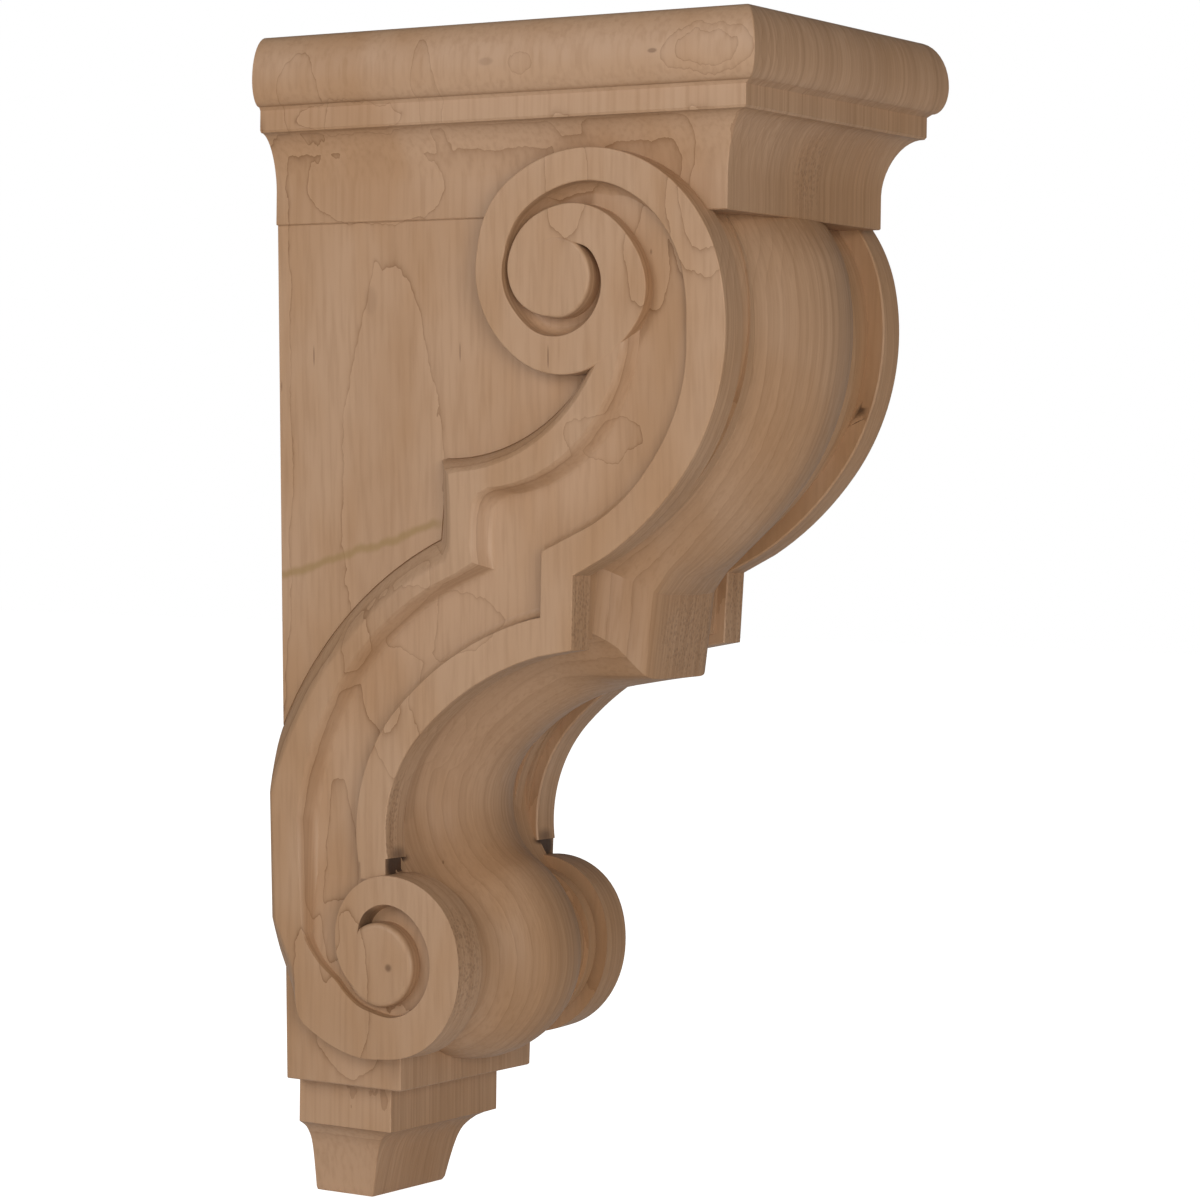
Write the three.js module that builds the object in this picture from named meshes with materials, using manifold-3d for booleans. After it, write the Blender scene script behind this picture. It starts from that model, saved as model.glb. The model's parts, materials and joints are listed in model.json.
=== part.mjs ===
// A moulded corbel of solid maple: a wall bracket with a moulded cap, a body that tapers towards a
// small stepped foot, and a scroll carved on each side, with a swelling rib down the front.
// Units are millimetres. +Z is up, the back lies in the plane Y = 0, and the front faces -Y.
// The origin is on the back face, on its centre line, halfway up.
import * as THREE from "three";
import { mergeVertices } from "three/addons/utils/BufferGeometryUtils.js";
import Module from "manifold-3d";

const wasm = await Module();
wasm.setup();

// Foot and the two blocks above it, from the floor up
const footHeight = 23.1;
const footHalfWidth = 19.1;
const footDepth = 21.7;
const neckHeight = 13.8;
const neckHalfWidth = 28.4;
const neckDepth = 35.2;
const blockDepth = 43.4;

// Body, whose two side panels lean in towards the foot
const bodyHeight = 262.4;
const panelHalfWidthLow = 34.8;
const panelHalfWidthHigh = 44.0;

// Cap, measured from the underside that overhangs the body
const capHalfWidth = 44.8;
const capDepth = 160.7;
const capLipHeight = 10.2;
const capCoveHeight = 17.2;
const capFilletHeight = 6.9;
const capSlabHeight = 22.0;
const filletSideReach = 8.4;
const filletFrontReach = 10.7;
const slabSideReach = 12.6;
const slabFrontReach = 15.8;
const slabNoseHeight = 9.0;
const slabTopEase = 6.9;
const slabBottomEase = 3.6;

// Carving: heights above the side panel, and widths along it
const relief = 7.9;
const ringLift = 1.4;
const floorLift = 2.6;
const ribbonDepth = 9.9;
const bandWidthNarrow = 9.6;
const bandWidthWide = 11.2;
const grooveSlope = 0.8;
const bandSlope = 2.5;
const bankWidth = 9.6;
const armBankWidth = 10.0;
const crownHeight = 7.6;
const crownDrop = 3.3;
const coveDepth = 5.6;
const edgeShadow = 0.4;
const eyeRadius = 7.5;
const lowEyeRadius = 11.6;

// The scroll is drawn on a body of this height and reach, and follows the body's own sizes
const drawnHeight = 262.4;
const drawnReach = 160.7;
const blockRise = 40;
const arcStep = 8;
const coilStep = 12;

const bodyBottom = footHeight + neckHeight;
const capBottom = bodyBottom + bodyHeight;
const totalHeight =
  capBottom + capLipHeight + capCoveHeight + capFilletHeight + capSlabHeight;
const { degToRad: radians, lerp: mix, clamp, smoothstep } = THREE.MathUtils;
const tallness = bodyHeight / drawnHeight;
const reachShare = capDepth / drawnReach;

// Half the body's width between its side panels, at a height above the floor.
function panelHalfWidth(height) {
  const share = (height - bodyBottom) / bodyHeight;
  return panelHalfWidthLow + (panelHalfWidthHigh - panelHalfWidthLow) * share;
}

// A point of the carving: reach in front of the wall, height above the body's underside.
function drawn(reach, height) {
  return new THREE.Vector2(reach * reachShare, bodyBottom + height * tallness);
}

// A point that stands a given lift above the side panel of one side, -1 or 1.
function onPanel(side, point, lift) {
  return new THREE.Vector3(side * (panelHalfWidth(point.y) + lift), -point.x, point.y);
}

// A closed surface through rings of equal count, with its two ends filled.
function skin(rings) {
  const count = rings[0].length;
  const points = rings.flat();
  const triangles = [];
  for (let r = 0; r + 1 < rings.length; r++) {
    for (let k = 0; k < count; k++) {
      const next = (k + 1) % count;
      const [a, b] = [r * count + k, r * count + next];
      triangles.push([a, b, b + count], [a, b + count, a + count]);
    }
  }
  const last = (rings.length - 1) * count;
  for (const [a, b, c] of endFaces(rings[0])) triangles.push([a, c, b]);
  for (const [a, b, c] of endFaces(rings.at(-1)))
    triangles.push([last + a, last + b, last + c]);
  return facingOut(points, triangles);
}

// Triangles that fill one flat ring, turned the way the ring runs.
function endFaces(ring) {
  const normal = new THREE.Vector3();
  ring.forEach((p, i) => normal.add(p.clone().cross(ring[(i + 1) % ring.length])));
  normal.normalize();
  const across = ring[1].clone().sub(ring[0]).normalize();
  const up = normal.clone().cross(across);
  const flat = ring.map((p) => new THREE.Vector2(p.dot(across), p.dot(up)));
  return THREE.ShapeUtils.triangulateShape(flat, []).map(([a, b, c]) => {
    const turn = flat[b].clone().sub(flat[a]).cross(flat[c].clone().sub(flat[a]));
    return turn > 0 ? [a, b, c] : [a, c, b];
  });
}

function facingOut(points, triangles) {
  let volume = 0;
  for (const [a, b, c] of triangles)
    volume += points[a].dot(points[b].clone().cross(points[c]));
  const order = volume > 0 ? [0, 1, 2] : [0, 2, 1];
  const positions = triangles.flatMap((t) =>
    order.flatMap((k) => points[t[k]].toArray()),
  );
  const geometry = new THREE.BufferGeometry();
  geometry.setAttribute("position", new THREE.Float32BufferAttribute(positions, 3));
  return toSolid(geometry);
}

function toSolid(geometry) {
  geometry.deleteAttribute("normal");
  geometry.deleteAttribute("uv");
  const merged = mergeVertices(geometry, 1e-4);
  return new wasm.Manifold(
    new wasm.Mesh({
      numProp: 3,
      vertProperties: new Float32Array(merged.attributes.position.array),
      triVerts: new Uint32Array(merged.index.array),
    }),
  );
}

// Points along arcs that follow one another smoothly: each arc is [radius, turn in degrees].
function arcRun(start, heading, arcs) {
  let [x, y] = start;
  let angle = radians(heading);
  const points = [new THREE.Vector2(x, y)];
  for (const [radius, turn] of arcs) {
    const side = Math.sign(turn);
    const centre = [x - side * radius * Math.sin(angle), y + side * radius * Math.cos(angle)];
    const steps = Math.ceil(Math.abs(turn) / arcStep);
    for (let i = 1; i <= steps; i++) {
      const now = angle + radians((turn * i) / steps);
      x = centre[0] + side * radius * Math.sin(now);
      y = centre[1] - side * radius * Math.cos(now);
      points.push(new THREE.Vector2(x, y));
    }
    angle += radians(turn);
  }
  return points;
}

// A value read from a smooth curve through [position, value] pairs in rising order.
function along(table, at) {
  const last = table.length - 1;
  let i = 0;
  while (i < last - 1 && table[i + 1][0] < at) i++;
  const t = clamp((at - table[i][0]) / (table[i + 1][0] - table[i][0]), 0, 1);
  const value = (k) => table[clamp(k, 0, last)][1];
  const place = (k) => table[clamp(k, 0, last)][0];
  const slope = (k) => {
    const span = place(k + 1) - place(k - 1);
    return span > 0 ? (value(k + 1) - value(k - 1)) / span : 0;
  };
  const width = place(i + 1) - place(i);
  const [a, b] = [2 * t ** 3 - 3 * t ** 2 + 1, t ** 3 - 2 * t ** 2 + t];
  const [c, d] = [-2 * t ** 3 + 3 * t ** 2, t ** 3 - t ** 2];
  return a * value(i) + b * width * slope(i) + c * value(i + 1) + d * width * slope(i + 1);
}

// The same run of points moved sideways, by one distance or one for each point, with mitred corners.
function offset(points, distance) {
  return points.map((p, i) => {
    const before = p.clone().sub(points[Math.max(i - 1, 0)]);
    const after = points[Math.min(i + 1, points.length - 1)].clone().sub(p);
    if (i === 0) before.copy(after);
    if (i === points.length - 1) after.copy(before);
    const [n, m] = [before.normalize(), after.normalize()].map(
      (v) => new THREE.Vector2(-v.y, v.x),
    );
    const mitre = n.clone().add(m).divideScalar(1 + n.dot(m));
    const d = Array.isArray(distance) ? distance[i] : distance;
    return p.clone().addScaledVector(mitre, d);
  });
}

// Outlines of the scroll in reach and height, drawn on the body
const kneeTop = [112.4, 158.0];
const kneeBottom = [111.7, 136.4];
const upperStart = [79.5, 252.7];
const upperHeading = 85.5;
const upperArcs = [[26.6, -49.5], [46.2, -112.6], [68.7, -50.4], [96.8, -29.1]];
const lowerHeading = 187.2;
const bandArcs = [[93.1, 38.6], [43.1, 53.9]];
const ribArcs = [[93.1, 38.6], [43.1, 17.9], [26.0, 86.0], [28.2, -165.0]];
const coilCentre = [105.1, 245.3];
const ringCentre = [43.4, 39.1];
const lowEyeCentre = [41.8, 38.1];
const bossStep = 15;

const place = (points) => points.map((p) => drawn(p.x, p.y));
const upperRun = place(arcRun(upperStart, upperHeading, upperArcs));
const bandRun = place(arcRun(kneeBottom, lowerHeading, bandArcs));
const ribRun = place(arcRun(kneeBottom, lowerHeading, ribArcs));
upperRun[upperRun.length - 1] = drawn(...kneeTop);

const polar = (centre, degrees, radius) =>
  drawn(
    centre[0] + radius * Math.cos(radians(degrees)),
    centre[1] + radius * Math.sin(radians(degrees)),
  );

// Upper coil: radii of its outer and inner edges, by degrees turned from the spiral's start
const coilOuter = [
  [0, 10.2], [90, 10.2], [145, 11.3], [190, 11.8], [235, 12.5], [280, 15.2], [325, 16.3],
  [370, 19.3], [415, 25.9], [460, 33.1], [485, 34.1], [505, 32.4], [550, 29.1], [595, 27.8],
  [640, 25.9], [656, 26.8],
];
const coilInner = [
  [0, 3.0], [340, 3.0], [380, 9.8], [415, 11.5], [460, 12.5], [505, 14.4], [550, 16.0],
  [600, 16.6], [640, 17.0], [656, 17.2],
];
const coilStartAngle = 100;
const coilTurn = 656;

// The flat band: it curls out of the upper eye, runs over the volute, through the knee and
// down the lower curve. Each station is [outer edge, inner edge, width of the inner slope].
function bandStations() {
  const stations = [];
  for (let turned = 0; turned < coilTurn - coilStep / 2; turned += coilStep) {
    const angle = coilStartAngle - turned;
    stations.push([
      polar(coilCentre, angle, along(coilOuter, turned)),
      polar(coilCentre, angle, along(coilInner, turned)),
      grooveSlope,
    ]);
  }
  const outer = [...upperRun, ...bandRun];
  const overTop = upperRun.length / 2;
  const grown = outer.map((_, i) => Math.min(i / overTop, 1));
  const inner = offset(outer, grown.map((share) => -mix(bandWidthNarrow, bandWidthWide, share)));
  outer.forEach((p, i) => {
    stations.push([p, inner[i], mix(grooveSlope, bandSlope, grown[i])]);
  });
  return stations;
}

function bandSolid(side) {
  const low = relief - ribbonDepth;
  return skin(
    bandStations().map(([outer, inner, slope]) => {
      const foot = inner.clone().sub(outer).setLength(slope).add(inner);
      return [
        onPanel(side, outer, low),
        onPanel(side, outer, relief),
        onPanel(side, inner, relief),
        onPanel(side, foot, floorLift - edgeShadow),
        onPanel(side, foot, low),
      ];
    }),
  );
}

// The bank behind the channel: a slope rises from the panel to a ridge, then falls to the channel.
// It starts below the upper volute, and its lower end curls round the lower eye as a ring.
const armFoot = { centre: [63.9, 252.6], radius: 61.0, from: -32, to: -91 };
const armRidge = { centre: [79.2, 234.0], radius: 50.8, from: -4, to: -86 };
const armFall = 5;
const kneeFootTop = [61.1, 191.4];
const kneeFootBottom = [61.1, 168.5];
const kneeRidgeTop = [76.6, 176.9];
const kneeRidgeBottom = [77.2, 160.6];
const kneeBankWidth = 9.0;
const kneeFall = 4;
const backFoot = { centre: [110.4, 55.3], radius: 122.9, from: 114, to: 162 };
const backRidge = { centre: [104.8, 69.2], radius: 95.0, from: 111, to: 172 };
const backFallHigh = 6;
const backFallLow = 3.4;
const bendSteps = 9;

// Lower ring, by angle round its centre: radii of its outer and inner edges, widths of its outer
// slope and inner fall, and the share of the ring's extra height.
const ringOuter = [
  [150, 62], [165, 52], [180, 45.2], [195, 41.4], [210, 38.0], [225, 34.4], [240, 31.8],
  [255, 30.0], [270, 28.6], [300, 28.6], [360, 29.0], [400, 30.0], [440, 28.4], [465, 26.6],
  [490, 23.5], [520, 19.0], [550, 15.4], [585, 12.0],
];
const ringInner = [
  [150, 38.2], [165, 32.4], [180, 25.8], [195, 20.0], [210, 17.8], [230, 16.2], [255, 14.9],
  [285, 15.7], [330, 17.1], [395, 18.8], [440, 19.1], [470, 17.0], [492, 13.2], [520, 9.0],
  [585, 6.0],
];
const ringSlope = [[150, 9.6], [200, 9.6], [235, 5.0], [265, 0.7], [585, 0.7]];
const ringFall = [[150, 3.0], [180, 1.6], [210, 0.7], [585, 0.7]];
const ringRise = [[150, 0], [200, 0], [280, 1], [585, 1]];
const ringStart = 165;
const ringEnd = 585;
const floorTurn = 240;
const floorTop = 445;
const floorInset = 0.3;
const halfway = 0.5;
const halfwayRise = 0.62;

// Stations of the bank: [foot of the slope, ridge, width of the slope, width of the fall, extra lift].
function bendStations(foot, ridge, width, falls) {
  const stations = [];
  for (let i = 0; i <= bendSteps; i++) {
    const share = i / bendSteps;
    stations.push([
      polar(foot.centre, mix(foot.from, foot.to, share), foot.radius),
      polar(ridge.centre, mix(ridge.from, ridge.to, share), ridge.radius),
      width,
      mix(falls[0], falls[1], share),
      0,
    ]);
  }
  return stations;
}

function ringStations() {
  const stations = [];
  for (let angle = ringStart; angle <= ringEnd; angle += coilStep) {
    stations.push([
      polar(ringCentre, angle, along(ringOuter, angle)),
      polar(ringCentre, angle, along(ringInner, angle)),
      along(ringSlope, angle),
      along(ringFall, angle),
      along(ringRise, angle) * ringLift,
    ]);
  }
  return stations;
}

function channelStations() {
  return [
    ...bendStations(armFoot, armRidge, armBankWidth, [armFall, armFall]),
    [drawn(...kneeFootTop), drawn(...kneeRidgeTop), kneeBankWidth, kneeFall, 0],
    [drawn(...kneeFootBottom), drawn(...kneeRidgeBottom), kneeBankWidth, kneeFall, 0],
    ...bendStations(backFoot, backRidge, bankWidth, [backFallHigh, backFallLow]),
  ];
}

function bankSolid(side) {
  const low = relief - ribbonDepth;
  return skin(
    [...channelStations(), ...ringStations()].map(([foot, ridge, slope, fall, extra]) => {
      const inward = ridge.clone().sub(foot).normalize();
      const rise = (share) => foot.clone().addScaledVector(inward, slope * share);
      const inside = ridge.clone().addScaledVector(inward, fall);
      return [
        onPanel(side, foot, low),
        onPanel(side, foot, 0),
        onPanel(side, rise(halfway), relief * halfwayRise),
        onPanel(side, rise(1), relief + extra),
        onPanel(side, ridge, relief + extra),
        onPanel(side, inside, floorLift - edgeShadow),
        onPanel(side, inside, low),
      ];
    }),
  );
}

// The flat floor of the channel: one plate under the band, the bank and the ring.
function floorSolid(side) {
  const band = bandStations().slice(-(upperRun.length + bandRun.length));
  const ring = ringStations();
  const front = ringStations().findIndex((_, i) => ringStart + i * coilStep >= floorTurn);
  const inset = ([outer, inner]) => outer.clone().lerp(inner, floorInset);
  const edge = [
    ...band.map(inset),
    ...ring.filter((_, i) => i > front && ringStart + i * coilStep < floorTop).map(inset).reverse(),
    ...[...channelStations(), ...ring.slice(0, front + 1)].map(([, ridge]) => ridge).reverse(),
  ];
  return skin(
    [relief - ribbonDepth, floorLift].map((lift) => edge.map((p) => onPanel(side, p, lift))),
  );
}

// A round eye standing at the middle of a scroll.
function bossSolid(side, centre, radius, lift) {
  const ring = [];
  for (let angle = 0; angle < 360; angle += bossStep) ring.push(polar(centre, angle, radius));
  return skin([relief - ribbonDepth, lift].map((h) => ring.map((p) => onPanel(side, p, h))));
}

// Section of the front from the centre line outwards: [share of the half width, share of the rib's
// height or, below nought, of the cove's depth]. The swelling is round and the knee's block square.
const roundSection = [
  [0, 1], [0.13, 0.93], [0.26, 0.75], [0.4, 0.4], [0.52, -0.03], [0.64, -0.57],
  [0.76, -0.89], [0.88, -1], [1, -1],
];
const squareSection = [1, 1, 1, 0.94, 0.45, -0.2, -0.81, -1, -1];
const squareReach = 26;
const dropReach = 70;
const ribTopHeight = 268;
const ribFadeHeight = 22;
const ribFade = 0.45;
const tailFadeHeight = 30;
const tailFade = 0.35;
const ribBackReach = 12;
const coreBottomHeight = 20;

// The body between its two panels, with the rib and the coves beside it down the front.
function coreSolid() {
  const top = drawn(0, ribTopHeight).y;
  const upper = upperRun.filter((p) => p.y < top && p.x > drawn(coilCentre[0], 0).x);
  const run = [...upper, ...ribRun];
  const [kneeHigh, kneeLow] = [upper.at(-1), ribRun[0]];
  const squareness = run.map((p) => {
    const away = Math.min(kneeHigh.distanceTo(p), kneeLow.distanceTo(p));
    return clamp(1 - away / squareReach, 0, 1);
  });
  const tailTop = drawn(...ringCentre).y;
  const fade = run.map(
    (p) =>
      1 -
      ribFade * smoothstep(p.y, top - ribFadeHeight, top) -
      tailFade * smoothstep(tailTop - p.y, 0, tailFadeHeight),
  );
  const drop = run.map((p, i) =>
    i < upper.length ? 0 : crownDrop * clamp(1 - kneeLow.distanceTo(p) / dropReach, 0, 1),
  );
  const lanes = roundSection.map(([, round], j) => {
    const shares = run.map((_, i) => mix(round, squareSection[j], squareness[i]));
    const lane = offset(run, shares.map((h, i) => h * (h > 0 ? crownHeight * fade[i] : coveDepth)));
    lane.forEach((p, i) => (p.y -= drop[i] * Math.max(shares[i], 0)));
    return lane;
  });
  const behind = [
    drawn(ribBackReach, coreBottomHeight),
    drawn(0, coreBottomHeight),
    drawn(0, ribTopHeight),
  ];
  const ringAt = (share, lane) =>
    [...lane, ...behind].map((p) => {
      const half = panelHalfWidth(p.y) + relief - ribbonDepth + 2 * edgeShadow;
      return new THREE.Vector3(share * half, -p.x, p.y);
    });
  const edgeAt = (side) => [...lanes.at(-1), ...behind].map((p) => onPanel(side, p, 0));
  const left = lanes.map((lane, j) => ringAt(-roundSection[j][0], lane)).reverse();
  const right = lanes.map((lane, j) => ringAt(roundSection[j][0], lane)).slice(1);
  return skin([edgeAt(-1), ...left, ...right, edgeAt(1)]);
}

// A block with one flat side on the wall, through levels of [height, half width, depth].
function wallBlock(levels) {
  return skin(
    levels.map(([z, half, depth]) =>
      [[-half, 0], [half, 0], [half, -depth], [-half, -depth]].map(
        ([x, y]) => new THREE.Vector3(x, y, z),
      ),
    ),
  );
}

// Foot: [share of its height, share of the way out to the neck]. Blocks that are joined run into
// each other by a seam.
const footProfile = [[0, 0], [0.5, 0.2], [0.72, 0.34], [0.845, 0.52], [0.92, 0.7], [0.985, 1]];
const seam = 1;

function footSolid() {
  const levels = footProfile.map(([share, growth]) => [
    footHeight * share,
    mix(footHalfWidth, neckHalfWidth, growth),
    mix(footDepth, neckDepth, growth),
  ]);
  const neck = wallBlock([
    [footHeight, neckHalfWidth, neckDepth],
    [bodyBottom + seam, neckHalfWidth, neckDepth],
  ]);
  return wallBlock([...levels, [footHeight + seam, neckHalfWidth, neckDepth]]).add(neck);
}

function blockSolid() {
  const top = drawn(0, blockRise).y;
  return wallBlock([
    [bodyBottom, panelHalfWidthLow, blockDepth],
    [top, panelHalfWidth(top), blockDepth],
  ]);
}

// The cap's moulding from its underside up: a lip, a cove, a fillet and a slab with a rounded nose.
const coveSteps = 7;
const noseSteps = 5;
const coveFlatness = 0.88;
const coveReach = 0.95;
const smallStep = 0.7;

function capSolid() {
  const coveBottom = capBottom + capLipHeight;
  const filletBottom = coveBottom + capCoveHeight;
  const slabBottom = filletBottom + capFilletHeight;
  const noseRise = slabNoseHeight - smallStep;
  const crownRise = capSlabHeight - slabNoseHeight;
  const quarter = (i, steps) => (Math.PI / 2) * (i / steps);
  const levels = [[capBottom, capHalfWidth, capDepth]];
  const add = (z, side, front) => levels.push([z, capHalfWidth + side, capDepth + front]);
  for (let i = 0; i <= coveSteps; i++) {
    const angle = quarter(i, coveSteps);
    const out = coveReach * (1 - Math.cos(angle)) ** coveFlatness;
    add(coveBottom + capCoveHeight * Math.sin(angle), filletSideReach * out, filletFrontReach * out);
  }
  add(filletBottom + smallStep, filletSideReach, filletFrontReach);
  add(slabBottom, filletSideReach, filletFrontReach);
  for (let i = 0; i <= noseSteps; i++) {
    const angle = quarter(i, noseSteps);
    const back = slabBottomEase * (1 - Math.sin(angle));
    const rise = smallStep + noseRise * (1 - Math.cos(angle));
    add(slabBottom + rise, slabSideReach - back, slabFrontReach - back);
  }
  for (let i = 1; i <= noseSteps; i++) {
    const angle = quarter(i, noseSteps);
    const back = slabTopEase * (1 - Math.cos(angle));
    const rise = slabNoseHeight + crownRise * Math.sin(angle);
    add(slabBottom + rise, slabSideReach - back, slabFrontReach - back);
  }
  return wallBlock(levels);
}

// What reaches past the wall is cut off flat.
function cutAtWall(solid) {
  const size = 2 * totalHeight;
  const box = new THREE.BoxGeometry(size, size, size);
  box.translate(0, size / 2, totalHeight / 2);
  return solid.subtract(toSolid(box));
}

let corbel = coreSolid().add(blockSolid()).add(footSolid()).add(capSolid());
for (const side of [-1, 1]) {
  corbel = corbel
    .add(floorSolid(side))
    .add(bandSolid(side))
    .add(bankSolid(side))
    .add(bossSolid(side, coilCentre, eyeRadius, relief))
    .add(bossSolid(side, lowEyeCentre, lowEyeRadius, relief + ringLift));
}
corbel = cutAtWall(corbel);

const mesh = corbel.getMesh();
const geometry = new THREE.BufferGeometry();
geometry.setAttribute("position", new THREE.BufferAttribute(mesh.vertProperties, 3));
geometry.setIndex(new THREE.BufferAttribute(mesh.triVerts, 1));
geometry.translate(0, 0, -totalHeight / 2);

const maple = new THREE.MeshStandardMaterial({ color: 0xb08d70, roughness: 0.6, metalness: 0 });
const body = new THREE.Mesh(geometry, maple);
body.name = "corbel";
const group = new THREE.Group();
group.add(body);
export default group;
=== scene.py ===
# %% [markdown]
# # A carved maple corbel
# A corbel is a bracket that carries a shelf, a mantel or the end of a worktop. This one is sawn and
# carved from boards of hard maple glued side by side. It has a moulded cap, a body that tapers
# towards a small stepped foot, a scroll on each side, and a rounded rib down the front.
#
# A carver could be imitated with sculpting brushes, but the result would depend on the hand. Here
# every edge is worked out from a few named sizes, so each can be read, checked and changed.

# %% Load the plain model that this one dresses
import json
import math
import bpy
import bmesh
import numpy as np
from mathutils import Matrix, Vector

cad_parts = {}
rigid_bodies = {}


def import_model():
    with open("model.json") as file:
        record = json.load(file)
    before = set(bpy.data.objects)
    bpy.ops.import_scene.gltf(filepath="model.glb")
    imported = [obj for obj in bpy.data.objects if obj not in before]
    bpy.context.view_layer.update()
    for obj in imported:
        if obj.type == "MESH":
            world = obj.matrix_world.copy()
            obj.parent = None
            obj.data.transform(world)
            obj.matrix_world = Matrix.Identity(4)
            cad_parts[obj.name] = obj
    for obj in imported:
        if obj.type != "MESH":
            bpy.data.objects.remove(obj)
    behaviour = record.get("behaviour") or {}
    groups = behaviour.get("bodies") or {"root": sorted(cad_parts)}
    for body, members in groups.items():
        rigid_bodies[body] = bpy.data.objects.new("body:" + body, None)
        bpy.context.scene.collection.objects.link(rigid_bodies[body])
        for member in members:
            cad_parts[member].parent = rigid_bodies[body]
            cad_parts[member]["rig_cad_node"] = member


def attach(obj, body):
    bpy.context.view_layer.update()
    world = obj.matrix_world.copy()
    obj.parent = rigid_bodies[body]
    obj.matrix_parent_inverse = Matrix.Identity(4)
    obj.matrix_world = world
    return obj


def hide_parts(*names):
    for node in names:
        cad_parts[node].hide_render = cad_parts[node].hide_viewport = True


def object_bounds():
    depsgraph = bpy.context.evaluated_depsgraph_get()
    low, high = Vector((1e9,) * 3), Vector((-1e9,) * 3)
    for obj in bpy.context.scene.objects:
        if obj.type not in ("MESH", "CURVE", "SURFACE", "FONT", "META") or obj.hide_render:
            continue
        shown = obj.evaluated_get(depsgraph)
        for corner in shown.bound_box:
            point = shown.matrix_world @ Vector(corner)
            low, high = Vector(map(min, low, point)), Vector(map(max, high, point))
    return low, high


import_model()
cad_box = [list(corner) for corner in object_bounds()]
print("the plain model's box, in metres:", cad_box)

# %% [markdown]
# ## Sizes
# All lengths are millimetres, as on a workshop drawing. The mesh is turned into metres once, at the
# very end. The height of the whole comes from the plain model, and the other sizes, its width and
# depth among them, are the ones it was drawn with.

# %% Sizes of the corbel
mm = 0.001
total_height = (cad_box[1][2] - cad_box[0][2]) / mm
foot_height = 23.1
foot_half_width = 19.1
foot_depth = 21.7
neck_height = 13.8
neck_half_width = 28.4
neck_depth = 35.2
block_depth = 43.4
block_rise = 40.0
body_height = 262.4
panel_half_width_low = 34.8
panel_half_width_high = 44.0
cap_half_width = 44.8
cap_depth = 160.7
cap_lip_height = 10.2
cap_cove_height = 17.2
cap_fillet_height = 6.9
cap_slab_height = 22.0
fillet_reach = np.array([8.4, 10.7])
slab_reach = np.array([12.6, 15.8])
slab_nose_height = 9.0
slab_top_ease = 6.9
slab_bottom_ease = 3.6

relief = 7.9
ring_lift = 1.4
floor_lift = 2.6
ribbon_depth = 9.9
crown_height = 7.6
cove_depth = 5.6
edge_ease = 0.45

body_bottom = foot_height + neck_height
cap_bottom = body_bottom + body_height
lean = (panel_half_width_high - panel_half_width_low) / body_height
print("height", total_height, "mm; the body starts at", body_bottom, "and the cap at", cap_bottom)


def half_width(height):
    """Half the body's width between its two side panels, at a height above the floor."""
    return panel_half_width_low + lean * (height - body_bottom)


# %% [markdown]
# ## Curves that carvers use
# The scroll's outline is a run of circular arcs, each starting where and how the last one stopped,
# as they are set out with a pair of compasses. A volute opens steadily instead, so its radius is
# read from a smooth curve through a few marks.

# %% Arcs, smooth curves and parallel lines
arc_step = 2.5
coil_step = 4.0
corner_gap = 10.5


def arc_run(start, heading, arcs):
    """Points along arcs that follow one another: each is (radius, turn in degrees)."""
    spot = np.array(start, float)
    angle = math.radians(heading)
    points = [spot]
    for radius, turn in arcs:
        side = math.copysign(1, turn)
        centre = spot + side * radius * np.array([-math.sin(angle), math.cos(angle)])
        steps = math.ceil(abs(turn) / arc_step)
        for now in angle + np.radians(turn) * np.arange(1, steps + 1) / steps:
            spot = centre + side * radius * np.array([math.sin(now), -math.cos(now)])
            points.append(spot)
        angle += math.radians(turn)
    return np.array(points)


def along(table, at):
    """Values read from a smooth curve through (position, value) pairs."""
    place, value = np.array(table, float).T
    slope = np.zeros(len(place))
    slope[1:-1] = (value[2:] - value[:-2]) / (place[2:] - place[:-2])
    slope[0] = (value[1] - value[0]) / (place[1] - place[0])
    slope[-1] = (value[-1] - value[-2]) / (place[-1] - place[-2])
    i = np.clip(np.searchsorted(place, at, side="right") - 1, 0, len(place) - 2)
    width = place[i + 1] - place[i]
    t = np.clip((at - place[i]) / width, 0, 1)
    start = (2 * t**3 - 3 * t**2 + 1) * value[i] + (t**3 - 2 * t**2 + t) * width * slope[i]
    end = (3 * t**2 - 2 * t**3) * value[i + 1] + (t**3 - t**2) * width * slope[i + 1]
    return start + end


def parallel(points, distance):
    """The same run of points moved to its left, with mitred corners."""
    steps = np.diff(points, axis=0)
    steps /= np.linalg.norm(steps, axis=1)[:, None]
    normals = np.column_stack([-steps[:, 1], steps[:, 0]])
    before = np.vstack([normals[:1], normals])
    after = np.vstack([normals, normals[-1:]])
    mitre = (before + after) / (1 + np.sum(before * after, axis=1))[:, None]
    return points + mitre * np.reshape(distance, (-1, 1))


def polar(centre, degrees, radius):
    """Points round a centre, in reach from the wall and height."""
    angle = np.radians(degrees)
    return np.array(centre) + np.column_stack([np.cos(angle), np.sin(angle)]) * np.reshape(radius, (-1, 1))


def ease_in_out(x):
    """Nought below 0, one above 1, and smooth between."""
    x = np.clip(x, 0, 1)
    return x * x * (3 - 2 * x)


def quarter_turn(steps):
    """Evenly spaced angles from nought to a right angle, in radians."""
    return np.radians(np.linspace(0, 90, steps + 1))


# %% [markdown]
# ## The scroll's outline
# Positions on the side are pairs: how far the point reaches from the wall, and how high it lies above
# the floor. The upper curve runs over the volute and down to the knee, and the lower curve runs from
# the knee to the notch above the small ring. The front rib follows the same lines.

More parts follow.
